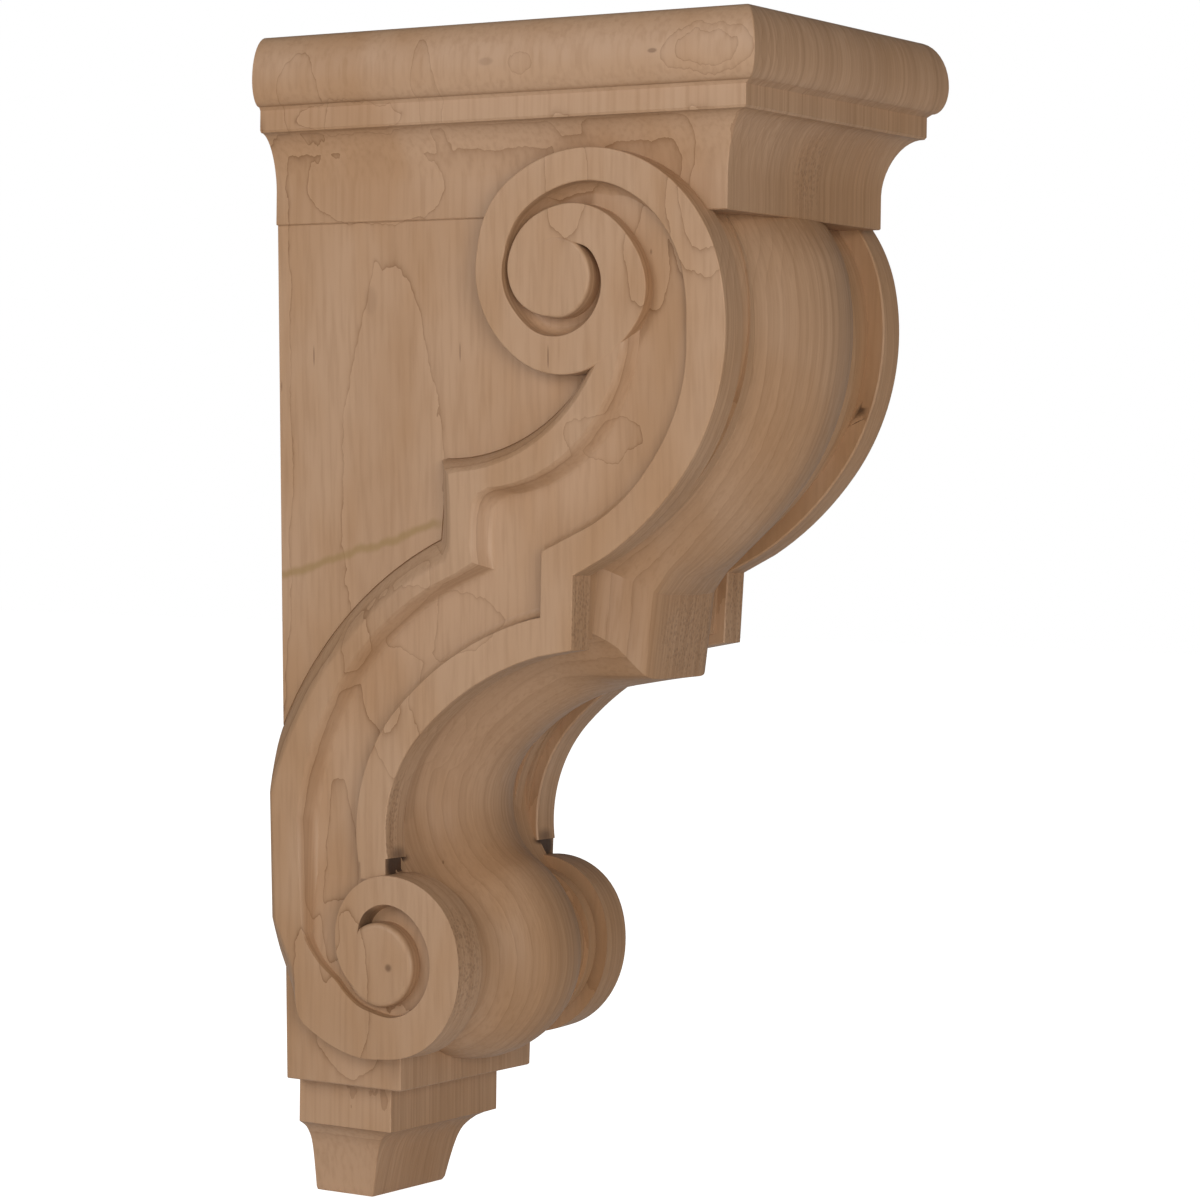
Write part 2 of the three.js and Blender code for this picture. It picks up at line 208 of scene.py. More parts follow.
# %% Outline of the scroll
knee_top = np.array([112.4, 158.0 + body_bottom])
knee_bottom = np.array([111.7, 136.4 + body_bottom])
upper_start = [79.5, 252.7 + body_bottom]
upper_heading = 85.5
upper_arcs = [(26.6, -49.5), (46.2, -112.6), (68.7, -50.4), (96.8, -29.1)]
lower_heading = 187.2
band_arcs = [(93.1, 38.6), (43.1, 53.9)]
rib_arcs = [(93.1, 38.6), (43.1, 17.9), (26.0, 86.0), (28.2, -165.0)]
coil_centre = np.array([105.1, 245.3 + body_bottom])
ring_centre = np.array([43.4, 39.1 + body_bottom])


def clear_of(points, corner):
    """The points that keep away from a corner, so that lines parallel to them don't cross there."""
    return points[np.linalg.norm(points - corner, axis=1) > corner_gap]


upper_run = np.vstack([clear_of(arc_run(upper_start, upper_heading, upper_arcs), knee_top), knee_top])
band_run = np.vstack([knee_bottom, clear_of(arc_run(knee_bottom, lower_heading, band_arcs), knee_bottom)])
rib_run = np.vstack([knee_bottom, clear_of(arc_run(knee_bottom, lower_heading, rib_arcs), knee_bottom)])
print("points along the upper, lower and rib lines:", len(upper_run), len(band_run), len(rib_run))

# %% [markdown]
# ## A tree that carves along a path
# The scroll is one section carried along a path: a flat band, or a bank, whose two edges are rails.
# Blender could bevel a curve for that, but a bevel keeps one width, and here the width, the slopes
# and the height all change on the way. So a Geometry Nodes tree takes the rails and the section as
# points, lays a grid with one row per station and one column per point of the section, and moves
# each point of the grid to its place on the leaning side panel.


# %% Small helpers for node trees
merge_gap = 0.002


def add_node(tree, kind, inputs=(), output=0, **settings):
    """A new node with its settings, its inputs linked or set in order, and one of its outputs."""
    node = tree.nodes.new(kind)
    for name, value in settings.items():
        setattr(node, name, value)
    for socket, value in zip(node.inputs, inputs):
        if isinstance(value, bpy.types.NodeSocket):
            tree.links.new(value, socket)
        elif value is not None:
            socket.default_value = value
    return node.outputs[output]


def add_sockets(tree, way, sockets):
    """Named sockets on the outside of a tree, each with its kind of value."""
    for label, kind in sockets:
        tree.interface.new_socket(label, in_out=way, socket_type="NodeSocket" + kind)


def new_geometry_tree(name, sizes):
    """A geometry tree with its named inputs, and the group node that gives their values."""
    tree = bpy.data.node_groups.new(name, "GeometryNodeTree")
    add_sockets(tree, "INPUT", [("Geometry", "Geometry"), *sizes])
    add_sockets(tree, "OUTPUT", [("Geometry", "Geometry")])
    return tree, tree.nodes.new("NodeGroupInput").outputs


def maths(tree, operation, *inputs):
    return add_node(tree, "ShaderNodeMath", inputs, operation=operation)


def times(tree, value, *factors):
    """The product of several values."""
    for factor in factors:
        value = maths(tree, "MULTIPLY", value, factor)
    return value


def vectors(tree, operation, *inputs):
    return add_node(tree, "ShaderNodeVectorMath", inputs, operation=operation)


def scaled(tree, vector, factor):
    return vectors(tree, "SCALE", vector, None, None, factor)


def axes_of(tree, vector):
    """The three parts of a vector."""
    return add_node(tree, "ShaderNodeSeparateXYZ", [vector]).node.outputs


def guide_geometry(tree, guide):
    """The points of a guide object, and how many there are."""
    points = add_node(tree, "GeometryNodeObjectInfo", [guide], output=4)
    return points, add_node(tree, "GeometryNodeAttributeDomainSize", [points])


def read_guide(tree, points, index, value, kind="FLOAT_VECTOR"):
    """A value of the guide's points at an index: their position, or an attribute by its name."""
    if value == "position":
        field = add_node(tree, "GeometryNodeInputPosition")
    else:
        field = add_node(tree, "GeometryNodeInputNamedAttribute", [value], data_type=kind)
    return add_node(tree, "GeometryNodeSampleIndex", [points, field, index], data_type=kind)


def finish_tree(tree, mesh, position, material):
    """Moves the grid's points, closes its seam and poles, and ends the tree."""
    placed = add_node(tree, "GeometryNodeSetPosition", [mesh, None, position])
    closed = add_node(tree, "GeometryNodeMergeByDistance", [placed, None, merge_gap])
    real = add_node(tree, "GeometryNodeRealizeInstances", [closed])
    made = add_node(tree, "GeometryNodeSetMaterial", [real, None, material])
    tree.links.new(made, tree.nodes.new("NodeGroupOutput").inputs[0])
    return tree


# %% The tree for the scroll's band and bank
def grid_over(tree, rows, columns):
    """A grid of rows and columns, and the row and column number of each of its points."""
    grid = add_node(tree, "GeometryNodeMeshGrid", [1.0, 1.0, rows, columns])
    index = add_node(tree, "GeometryNodeInputIndex")
    row = add_node(tree, "FunctionNodeIntegerMath", [index, columns], operation="DIVIDE_FLOOR")
    column = add_node(tree, "FunctionNodeIntegerMath", [index, columns], operation="MODULO")
    return grid, row, column


def carved_run_tree():
    """A section carried along two rails that lie on a leaning side panel."""
    sizes = [("Rails", "Object"), ("Section", "Object"), ("Half Width", "Float"), ("Lean", "Float")]
    sizes += [("Body Bottom", "Float"), ("Side", "Float"), ("Material", "Material")]
    tree, given = new_geometry_tree("carved_run", sizes)
    rails, stations = guide_geometry(tree, given["Rails"])
    section, points = guide_geometry(tree, given["Section"])
    grid, station, point = grid_over(tree, stations, points)

    outer = read_guide(tree, rails, station, "position")
    inner = read_guide(tree, rails, station, "inner")
    slope, fall, rise = axes_of(tree, read_guide(tree, rails, station, "widths"))[:3]
    opened = read_guide(tree, rails, station, "opened", "FLOAT")
    share, past, lift = axes_of(tree, read_guide(tree, section, point, "position"))[:3]
    by_slope, by_fall, by_rise = axes_of(tree, read_guide(tree, section, point, "stretch"))[:3]

    across = vectors(tree, "SUBTRACT", inner, outer)
    slid = maths(tree, "MULTIPLY_ADD", by_fall, fall, maths(tree, "MULTIPLY_ADD", by_slope, slope, past))
    from_middle = times(tree, maths(tree, "SUBTRACT", share, 0.5), opened)
    from_outer = scaled(tree, across, maths(tree, "ADD", from_middle, 0.5))
    beyond = scaled(tree, vectors(tree, "NORMALIZE", across), times(tree, slid, opened))
    spot = axes_of(tree, vectors(tree, "ADD", vectors(tree, "ADD", outer, from_outer), beyond))
    height = times(tree, maths(tree, "MULTIPLY_ADD", by_rise, rise, lift), opened)
    above = maths(tree, "SUBTRACT", spot[1], given["Body Bottom"])
    panel = maths(tree, "MULTIPLY_ADD", above, given["Lean"], given["Half Width"])
    sideways = times(tree, maths(tree, "ADD", panel, height), given["Side"])
    forward = times(tree, spot[0], -1.0)
    place = add_node(tree, "ShaderNodeCombineXYZ", [sideways, forward, spot[1]])
    return finish_tree(tree, grid, place, given["Material"])


scroll_tree = carved_run_tree()
print("nodes in the tree that carves along a path:", len(scroll_tree.nodes))


# %% Guides, and turning a tree's result into a plain mesh
def add_object(name, data):
    """A new object in the scene."""
    made = bpy.data.objects.new(name, data)
    bpy.context.scene.collection.objects.link(made)
    return made


def guide(name, points, **attributes):
    """An object of loose points that a tree reads, with named values on each point."""
    mesh = bpy.data.meshes.new(name)
    points = np.asarray(points, float)
    flat = np.zeros((len(points), 3))
    flat[:, : points.shape[1]] = points
    mesh.from_pydata(flat.tolist(), [], [])
    for key, values in attributes.items():
        values = np.asarray(values, np.float32)
        kind, field = ("FLOAT", "value") if values.ndim == 1 else ("FLOAT_VECTOR", "vector")
        mesh.attributes.new(key, kind, "POINT").data.foreach_set(field, values.ravel())
    return add_object(name, mesh)


def worked_out(made):
    """The plain mesh that an object's modifiers give. The modifiers are then removed."""
    mesh = bpy.data.meshes.new_from_object(made.evaluated_get(bpy.context.evaluated_depsgraph_get()))
    made.modifiers.clear()
    return mesh


def face_outwards(mesh):
    """Turns the faces of a closed mesh outwards, and says so if it has open edges."""
    work = bmesh.new()
    work.from_mesh(mesh)
    bmesh.ops.recalc_face_normals(work, faces=work.faces)
    loose = sum(not edge.is_manifold for edge in work.edges)
    work.to_mesh(mesh)
    work.free()
    if loose:
        print(f"  {mesh.name} has {loose} open edges")


def shape_from_tree(name, tree, values):
    """Runs a tree with these inputs and returns its result as a plain closed mesh object."""
    made = guide(name, [[0, 0, 0]])
    modifier = made.modifiers.new("tree", "NODES")
    modifier.node_group = tree
    for item in tree.interface.items_tree:
        if item.in_out == "INPUT" and item.name in values:
            modifier[item.identifier] = values[item.name]
    made.data = worked_out(made)
    face_outwards(made.data)
    print(f"{name}: {len(made.data.vertices)} points, {len(made.data.polygons)} faces")
    return made


maple = bpy.data.materials.new("maple")


# %% [markdown]
# ## The band
# On the real corbel the band is what the carver leaves standing: a flat ribbon, full height from end
# to end, that curls twice round the upper eye, runs over the volute and the knee and ends above the
# small ring. Its outer side is cut straight down, and its inner side falls in a hollow curve to the
# floor of the channel. Its edges are eased a little, as sanding leaves them.

# %% Section and rails of the band
coil_outer = [
    (0, 9.6), (60, 10.4), (100, 12.6), (150, 12.6), (180, 12.4), (219, 12.8), (253, 14.0), (284, 15.0),
    (313, 15.7), (344, 17.0), (371, 18.9), (395, 21.9), (416, 25.0), (437, 28.2), (455, 31.4), (468, 33.1),
    (480, 33.4), (501, 31.7), (530, 30.4), (556, 28.7), (590, 26.5), (621, 26.1), (656, 26.65),
]
coil_inner = [
    (0, 4.0), (382, 4.0), (402, 10.0), (418, 12.3), (431, 14.5), (444, 15.8), (471, 17.8), (498, 18.6),
    (530, 18.5), (562, 17.8), (594, 16.5), (620, 16.7), (656, 17.05),
]
coil_start_angle = 100
coil_turn = 656
band_width = [
    (0, 9.8), (0.05, 10.4), (0.15, 10.0), (0.25, 9.6), (0.35, 10.6), (0.45, 11.8), (0.54, 12.8),
    (0.59, 13.2), (0.65, 12.4), (0.75, 11.3), (0.85, 10.1), (0.93, 10.2), (1, 11.2),
]
band_slope = [(0, 3.4), (0.3, 4.4), (0.5, 6.2), (0.65, 5.6), (0.85, 4.2), (1, 3.7)]
coil_slope = 3.2
low_lift = relief - ribbon_depth
under_floor = 0.05
quarter = quarter_turn(4)


def round_corner(share, past, lift, turn_in):
    """An eased edge: points round a quarter circle that starts below the edge and ends on top."""
    inwards = edge_ease * (1 - np.cos(quarter))
    below = edge_ease * (1 - np.sin(quarter))
    return [(share, past + turn_in * a, lift - b) for a, b in zip(inwards, below)]


def band_section():
    """The band's points, each as share across, millimetres past it and lift, and what stretches them."""
    edges = round_corner(0, 0, relief, 1) + round_corner(1, 0, relief, -1)[::-1]
    depth = relief - edge_ease - floor_lift + under_floor
    steps = quarter_turn(8)[1:]
    hollow = [(1, 0, relief - edge_ease - depth * math.sin(a)) for a in steps]
    buried = [(1, 0, low_lift), (0, edge_ease, low_lift), (0, 0, low_lift + edge_ease)]
    by_slope = [0] * len(edges) + [1 - math.cos(a) for a in steps] + [1, 0, 0, 0]
    points = [*edges, *hollow, *buried, edges[0]]
    return guide("band_section", points, stretch=[(s, 0, 0) for s in by_slope])


def open_between(count):
    """One at each station and nought at both ends, where the run closes to a point."""
    opened = np.ones(count)
    opened[[0, -1]] = 0
    return opened


def rails(name, outer, inner, widths):
    """Rails for the tree, with one more station at each end that closes the run."""
    outer, inner, widths = (np.vstack([part[:1], part, part[-1:]]) for part in (outer, inner, widths))
    inner = np.column_stack([inner, np.zeros(len(inner))])
    return guide(name, outer, inner=inner, widths=widths, opened=open_between(len(outer)))


def share_of_length(run, count):
    """How far along a run each of its points lies, from 0 to 1, and 1 for what follows it."""
    passed = np.concatenate([[0], np.cumsum(np.linalg.norm(np.diff(run, axis=0), axis=1))])
    share = np.ones(count)
    share[: len(run)] = passed / passed[-1]
    return share


def band_rails():
    turned = np.arange(0, coil_turn - coil_step / 2, coil_step)
    coil = polar(coil_centre, coil_start_angle - turned, along(coil_outer, turned))
    coil_in = polar(coil_centre, coil_start_angle - turned, along(coil_inner, turned))
    run = np.vstack([upper_run, band_run])
    share = share_of_length(upper_run, len(run))
    run_in = parallel(run, -along(band_width, share))
    slopes = np.concatenate([np.full(len(coil), coil_slope), along(band_slope, share)])
    widths = np.column_stack([slopes, 0 * slopes, 0 * slopes])
    return rails("band_rails", np.vstack([coil, run]), np.vstack([coil_in, run_in]), widths)


sides = {"left": -1, "right": 1}


def carve(name, rail_guide, section):
    """Carves a run on the left side, and its mirror image on the right."""
    values = {"Rails": rail_guide, "Section": section, "Half Width": panel_half_width_low}
    values |= {"Lean": lean, "Body Bottom": body_bottom, "Material": maple}
    return [
        shape_from_tree(f"{name}_{label}", scroll_tree, values | {"Side": float(side)})
        for label, side in sides.items()
    ]


solids = carve("band", band_rails(), band_section())

# %% [markdown]
# ## The bank and the ring
# Behind the band lies a channel, and behind the channel a bank: it slopes up from the side panel to a
# ridge and falls into the channel. Below the knee it follows the back of the lower curve, and at the
# bottom it curls round the lower eye as a ring. The same tree carves it, with another section.

# %% Section and rails of the bank
arm_foot = dict(centre=[63.9, 252.6 + body_bottom], radius=61.0, start=-32, end=-91)
arm_ridge = dict(centre=[79.2, 234.0 + body_bottom], radius=50.8, start=-4, end=-86)
back_foot = dict(centre=[110.4, 55.3 + body_bottom], radius=122.9, start=114, end=162)
back_ridge = dict(centre=[104.8, 69.2 + body_bottom], radius=95.0, start=111, end=172)
knee_foot = [[61.1, 191.4], [61.2, 187.5], [61.3, 183.5], [61.4, 178.0], [61.4, 173.0], [61.1, 168.5]]
knee_ridge = [[78.4, 181.7], [76.8, 179.3], [76.0, 176.2], [75.7, 171.0], [75.8, 166.0], [76.8, 161.3]]
knee_foot = np.array(knee_foot) + [0, body_bottom]
knee_ridge = np.array(knee_ridge) + [0, body_bottom]
arm_widths = (10.0, 6.2)
knee_widths = (9.0, 6.0)
back_slope = 9.6
back_falls = (3.4, 5.6)
bank_top = relief - 0.03
fall_start = 0.06
bend_steps = 26
ring_outer = [
    (150, 62), (165, 52), (180, 45.2), (195, 41.4), (210, 38.0), (225, 34.4), (240, 31.8),
    (255, 30.0), (270, 28.6), (300, 28.6), (360, 29.0), (400, 30.0), (440, 28.4), (465, 26.6),
    (490, 23.5), (520, 19.0), (550, 15.4), (585, 12.0),
]
ring_inner = [
    (150, 38.2), (165, 32.4), (180, 25.8), (195, 20.0), (210, 17.8), (230, 16.2), (255, 14.9),
    (285, 15.7), (330, 17.1), (395, 18.8), (440, 19.1), (470, 17.0), (492, 13.2), (520, 9.0),
    (585, 6.0),
]
ring_slope = [(150, 9.6), (182, 9.6), (192, 7.4), (203, 3.0), (212, 0.7), (585, 0.7)]
ring_fall = [(150, 3.0), (180, 1.8), (210, 1.1), (585, 1.1)]
ring_rise = [(150, 0), (200, 0), (280, 1), (585, 1)]
ring_angles = np.arange(165, 585 + coil_step / 2, coil_step)
floor_turn = 240
floor_top = 445
slope_curve = [(0, 0), (0.2, 0.3), (0.5, 0.63), (0.8, 0.9), (1, 1)]


def bend(arc):
    """Points along one arc of the bank."""
    return polar(arc["centre"], np.linspace(arc["start"], arc["end"], bend_steps), arc["radius"])


def bank_section():
    """The outer slope, the ridge, the fall into the channel and the buried underside."""
    rising = np.linspace(0, 1, 9)
    slope = [(0, 0, bank_top * float(along(slope_curve, t))) for t in rising]
    falling = np.linspace(0, 1, 10)
    deep = bank_top - floor_lift + under_floor
    eased = [float(ease_in_out(fall_start + (1 - fall_start) * t)) for t in falling]
    fall = [(1, 0, bank_top - deep * share) for share in eased]
    points = [(0, 0, low_lift), *slope, *fall, (1, 0, low_lift), (0, 0, low_lift)]
    stretch = [(0, 0, 0), *[(t, 0, t) for t in rising], *[(0, t, 1 - t) for t in falling]]
    stretch += [(0, 1, 0), (0, 0, 0)]
    return guide("bank_section", points, stretch=stretch)


def bank_rails():
    foot = np.vstack([bend(arm_foot), knee_foot, bend(back_foot)])
    ridge = np.vstack([bend(arm_ridge), knee_ridge, bend(back_ridge)])
    falls = np.linspace(*back_falls, bend_steps)
    widths = [(*arm_widths, 0)] * bend_steps + [(*knee_widths, 0)] * len(knee_foot)
    widths += [(back_slope, fall, 0) for fall in falls]
    ring = [along(table, ring_angles) for table in (ring_slope, ring_fall, ring_rise)]
    widths = np.vstack([widths, np.column_stack([ring[0], ring[1], ring[2] * ring_lift])])
    outer = np.vstack([foot, polar(ring_centre, ring_angles, along(ring_outer, ring_angles))])
    inner = np.vstack([ridge, polar(ring_centre, ring_angles, along(ring_inner, ring_angles))])
    return rails("bank_rails", outer, inner, widths)


solids += carve("bank", bank_rails(), bank_section())

# %% [markdown]
# Where the slope meets the side panel the carver's knife has left a thin crease. It is cut with the
# same tree: a small V follows the foot of the slope, and is taken away when the shapes are joined.

# %% Crease along the foot of the slope
crease_width = 0.8
crease_depth = 0.45
crease_end = 222


def crease_rails():
    angles = ring_angles[ring_angles < crease_end]
    ring_foot = polar(ring_centre, angles, along(ring_outer, angles))
    foot = np.vstack([bend(arm_foot)[1:], bend(back_foot), ring_foot])
    outer, inner = (parallel(foot, step) for step in (crease_width / 2, -crease_width / 2))
    return rails("crease_rails", outer, inner, np.zeros((len(foot), 3)))


def crease_section():
    points = [(0, 0, crease_depth), (0.5, 0, -crease_depth), (1, 0, crease_depth), (0, 0, crease_depth)]
    return guide("crease_section", points, stretch=[(0, 0, 0)] * len(points))


creases = carve("crease", crease_rails(), crease_section())

# %% [markdown]
# ## Floor and eyes
# The channel's floor is a thin plate that reaches under the band and the bank on both sides. Two more
# plates of the same outline are tipped, so the floor comes up towards the front of the volute and
# towards the lower eye. The eyes are plain discs with an eased edge. None of these repeats or follows
# a path, so they are made directly from points.


# %% Plates, discs and other lofts
under_share = 0.3
plate_depth = 4.0
disc_steps = 72


def loft(name, rings):
    """A closed mesh through rings of equal count, with flat ends."""
    rings = np.asarray(rings, float)
    count, size = rings.shape[:2]
    this = np.arange(size)
    after = np.roll(this, -1)
    faces = []
    for row in range(count - 1):
        low, high = row * size, (row + 1) * size
        faces += np.column_stack([low + this, low + after, high + after, high + this]).tolist()
    faces += [this[::-1].tolist(), (this + (count - 1) * size).tolist()]
    mesh = bpy.data.meshes.new(name)
    mesh.from_pydata(rings.reshape(-1, 3).tolist(), [], faces)
    mesh.materials.append(maple)
    face_outwards(mesh)
    made = add_object(name, mesh)
    print(f"{name}: {len(mesh.polygons)} faces")
    return made


def on_panel(side, points, lift):
    """Points on the side at a height above its leaning panel."""
    x = side * (half_width(points[:, 1]) + lift)
    return np.column_stack([x, -points[:, 0], points[:, 1]])


def floor_edge():
    """The floor's outline: under the band, round the ring's front, and back under the bank."""
    run = np.vstack([upper_run, band_run])
    under_band = parallel(run, -under_share * along(band_width, share_of_length(upper_run, len(run))))
    round_front = ring_angles[(ring_angles > floor_turn) & (ring_angles < floor_top)][::-1]
    outer = along(ring_outer, round_front)
    inner = along(ring_inner, round_front)
    front = polar(ring_centre, round_front, outer + (inner - outer) * under_share)
    low = ring_angles[ring_angles <= floor_turn][::-1]
    behind = polar(ring_centre, low, along(ring_inner, low))
    bank = np.vstack([bend(arm_ridge), knee_ridge, bend(back_ridge)])[::-1]
    return np.vstack([under_band, front, behind, bank])


floor_outline = floor_edge()


def disc(name, side, centre, radius, top, ease, tilt=0.0):
    """A round plate with an eased edge. Its top may rise a little towards the front."""
    turn = np.linspace(0, 360, disc_steps, endpoint=False)
    rings = [on_panel(side, polar(centre, turn, radius), low_lift)]
    for a in quarter:
        circle = polar(centre, turn, radius - ease * (1 - math.cos(a)))
        raised = tilt * (circle[:, 0] - centre[0]) / radius
        rings.append(on_panel(side, circle, top - ease * (1 - math.sin(a)) + raised))
    return loft(name, rings)


def tipped_floor(name, side, slope, level_at):
    """The floor's outline once more, as a plate that is tipped, so that it comes up at one end."""
    lift = floor_lift + (floor_outline - level_at) @ np.array(slope)
    return loft(name, [on_panel(side, floor_outline, height) for height in (lift - plate_depth, lift)])


# each tipped plate: its slope along reach and height, and a point where it is level with the floor
tipped_plates = {
    "volute_floor": [(0.11, 0), (124, 0)],
    "low_floor": [(0, -0.09), (0, body_bottom + 65)],
}
# each disc: centre, radius, height of its top, width of its eased edge, and how far it is tipped
discs = {
    "coil_floor": [coil_centre, 25.0, floor_lift, edge_ease],
    "eye": [[107.3, 244.1 + body_bottom], 11.8, relief + 0.2, 1.1, 0.4],
    "low_eye": [[41.8, 39.4 + body_bottom], 12.8, relief + ring_lift - 0.02, 1.6],
}
for name, side in sides.items():
    flat_floor = [on_panel(side, floor_outline, lift) for lift in (low_lift, floor_lift)]
    solids.append(loft(f"floor_{name}", flat_floor))
    solids += [tipped_floor(f"{plate}_{name}", side, *tip) for plate, tip in tipped_plates.items()]
    solids += [disc(f"{plate}_{name}", side, *sizes) for plate, sizes in discs.items()]

# %% [markdown]
# ## The front
# Down the front runs a rounded rib between two hollows, and at the knee it turns into a square block.
# One section changes into another on the way, so this is a loft too, but it runs across the corbel:
# each lane is a line parallel to the outline, raised for the rib and sunk for the hollow beside it.

# %% Body with its rib and hollows
round_section = [
    (0, 1), (0.13, 0.93), (0.26, 0.75), (0.4, 0.4), (0.52, -0.03), (0.64, -0.57),
    (0.76, -0.89), (0.88, -1), (1, -1),
]
square_section = [
    (0, 1), (0.2, 1), (0.32, 0.995), (0.38, 0.97), (0.43, 0.9), (0.47, 0.77), (0.52, 0.47),
    (0.58, 0.04), (0.64, -0.38), (0.69, -0.68), (0.75, -0.9), (0.82, -1), (1, -1),
]
lanes_per_side = 44
square_reach = 26.0
crown_drop = 3.3
drop_reach = 70.0
rib_top = body_bottom + 268.0
rib_fade_height = 22.0
rib_fade = 0.45
tail_fade_height = 30.0
tail_fade = 0.35
soft_corner = 9.0
soft_until = 1.25
soft_reach = 18.0
soft_core = 1.4
core_back = 12.0
core_bottom = body_bottom + 20.0
core_overlap = 0.8
stop_reach = (35.0, 44.3)
stop_heights = (102.0, 109.3)
stop_width = 10.0


def softened(lane, width):
    """The lane with its corners rounded: each point becomes the mean of its surroundings."""
    passed = np.concatenate([[0], np.cumsum(np.linalg.norm(np.diff(lane, axis=0), axis=1))])
    steps = np.linspace(-1, 1, 9)
    spots = [np.clip(passed + step * width, 0, passed[-1]) for step in steps]
    moved = [np.column_stack([np.interp(at, passed, axis) for axis in lane.T]) for at in spots]
    return np.mean(moved, axis=0)


def front_lanes():
    """Lines down the front, from the centre outwards: the share of the half width, and the points."""
    upper = upper_run[(upper_run[:, 1] < rib_top) & (upper_run[:, 0] > coil_centre[0])]
    run = np.vstack([upper, rib_run])
    near = [np.linalg.norm(run - knee, axis=1) for knee in (knee_top, knee_bottom)]
    squareness = np.clip(1 - np.minimum(*near) / square_reach, 0, 1)
    fade = 1 - rib_fade * ease_in_out((run[:, 1] - rib_top + rib_fade_height) / rib_fade_height)
    fade -= tail_fade * ease_in_out((ring_centre[1] - run[:, 1]) / tail_fade_height)
    drop = crown_drop * np.clip(1 - near[1] / drop_reach, 0, 1)
    drop[: len(upper)] = 0
    lanes = []
    for share in np.linspace(0, 1, lanes_per_side):
        height = along(round_section, share) * (1 - squareness) + along(square_section, share) * squareness
        lane = parallel(run, np.where(height > 0, height * crown_height * fade, height * cove_depth))
        lane[:, 1] -= drop * np.maximum(height, 0)
        near_knee = np.clip(soft_core - near[0] / soft_reach, 0, 1)
        softness = soft_corner * ease_in_out(soft_until - share) * near_knee
        lanes.append((share, softened(lane, softness)))
    return lanes


def core():
    """The body between the scrolls, with the rib, the hollows and the block on its front."""
    behind = np.array([[core_back, core_bottom], [0, core_bottom], [0, rib_top]])
    lanes = front_lanes()
    rings = []
    for share, lane in lanes:
        outline = np.vstack([lane, behind])
        x = share * (half_width(outline[:, 1]) + low_lift + core_overlap)
        rings.append(np.column_stack([x, -outline[:, 0], outline[:, 1]]))
    rings.append(on_panel(1, np.vstack([lanes[-1][1], behind]), 0))
    mirrored = [ring * [-1, 1, 1] for ring in rings[:0:-1]]
    return loft("core", mirrored + rings)


def notch_stop(name, side):
    """The uncut wood behind the notch, where the cutter was stopped."""
    low, high = stop_heights
    near, far = stop_reach
    corners = np.array([(near, low), (far, low), (far, high), (near, high)])
    return loft(name, [on_panel(side, corners, relief - depth) for depth in (stop_width, 0)])


solids.append(core())
solids += [notch_stop(f"notch_stop_{name}", side) for name, side in sides.items()]

# %% [markdown]
# ## The cap, the foot and the blocks
# A moulding is one profile run along the front and both sides, and mitred at the corners, as it comes
# off a spindle moulder. It follows a rule: a profile and a path. So a second tree takes the profile
# as points, with how far each stands out at the side, at the front, and how high it is.

# %% The tree for mouldings
def moulding_tree():
    """A profile run round three sides of a block whose back lies on the wall."""
    sizes = [("Profile", "Object"), ("Path", "Object"), ("Half Width", "Float"), ("Depth", "Float")]
    sizes += [("Corner Ease", "Float"), ("Material", "Material")]
    tree, given = new_geometry_tree("moulding", sizes)
    profile, levels = guide_geometry(tree, given["Profile"])
    path, corners = guide_geometry(tree, given["Path"])
    grid, corner, level = grid_over(tree, corners, levels)

    stands_out = axes_of(tree, read_guide(tree, profile, level, "position"))
    opened = read_guide(tree, profile, level, "opened", "FLOAT")
    sideways, forward = axes_of(tree, read_guide(tree, path, corner, "position"))[:2]
    ease = scaled(tree, read_guide(tree, path, corner, "ease"), given["Corner Ease"])
    width = maths(tree, "ADD", given["Half Width"], stands_out[0])
    depth = maths(tree, "ADD", given["Depth"], stands_out[1])
    x = times(tree, width, sideways)
    y = times(tree, depth, forward)
    spot = vectors(tree, "ADD", add_node(tree, "ShaderNodeCombineXYZ", [x, y, stands_out[2]]), ease)
    half_depth = times(tree, given["Depth"], -0.5)
    middle = add_node(tree, "ShaderNodeCombineXYZ", [0.0, half_depth, stands_out[2]])
    outwards = scaled(tree, vectors(tree, "SUBTRACT", spot, middle), opened)
    return finish_tree(tree, grid, vectors(tree, "ADD", middle, outwards), given["Material"])


def three_sides():
    """The path from the wall round the two front corners and back, with each corner's easing."""
    left = [(1 - math.cos(a), 1 - math.sin(a), 0) for a in quarter_turn(3)]
    right = [(-x, y, 0) for x, y, _ in left[::-1]]
    wall = (0, 0, 0)
    points = [(-1, 0), *[(-1, -1)] * len(left), *[(1, -1)] * len(right), (1, 0), (-1, 0)]
    return guide("three_sides", points, ease=[wall, *left, *right, wall, wall])


mould_tree = moulding_tree()
path = three_sides()
block_ease = 0.5


def mould(name, levels, half, depth):
    """A moulded block. Its profile is a list of (out at the side, out at the front, height)."""
    levels = np.asarray([levels[0], *levels, levels[-1]], float)
    profile = guide(name + "_profile", levels, opened=open_between(len(levels)))
    values = {"Profile": profile, "Path": path, "Half Width": half, "Depth": depth}
    return shape_from_tree(name, mould_tree, values | {"Corner Ease": block_ease, "Material": maple})


# %% The cap
cove_steps = 12
nose_steps = 10
cove_flatness = 0.88
cove_reach = 0.95
small_step = 0.7
lip_ease = 0.3


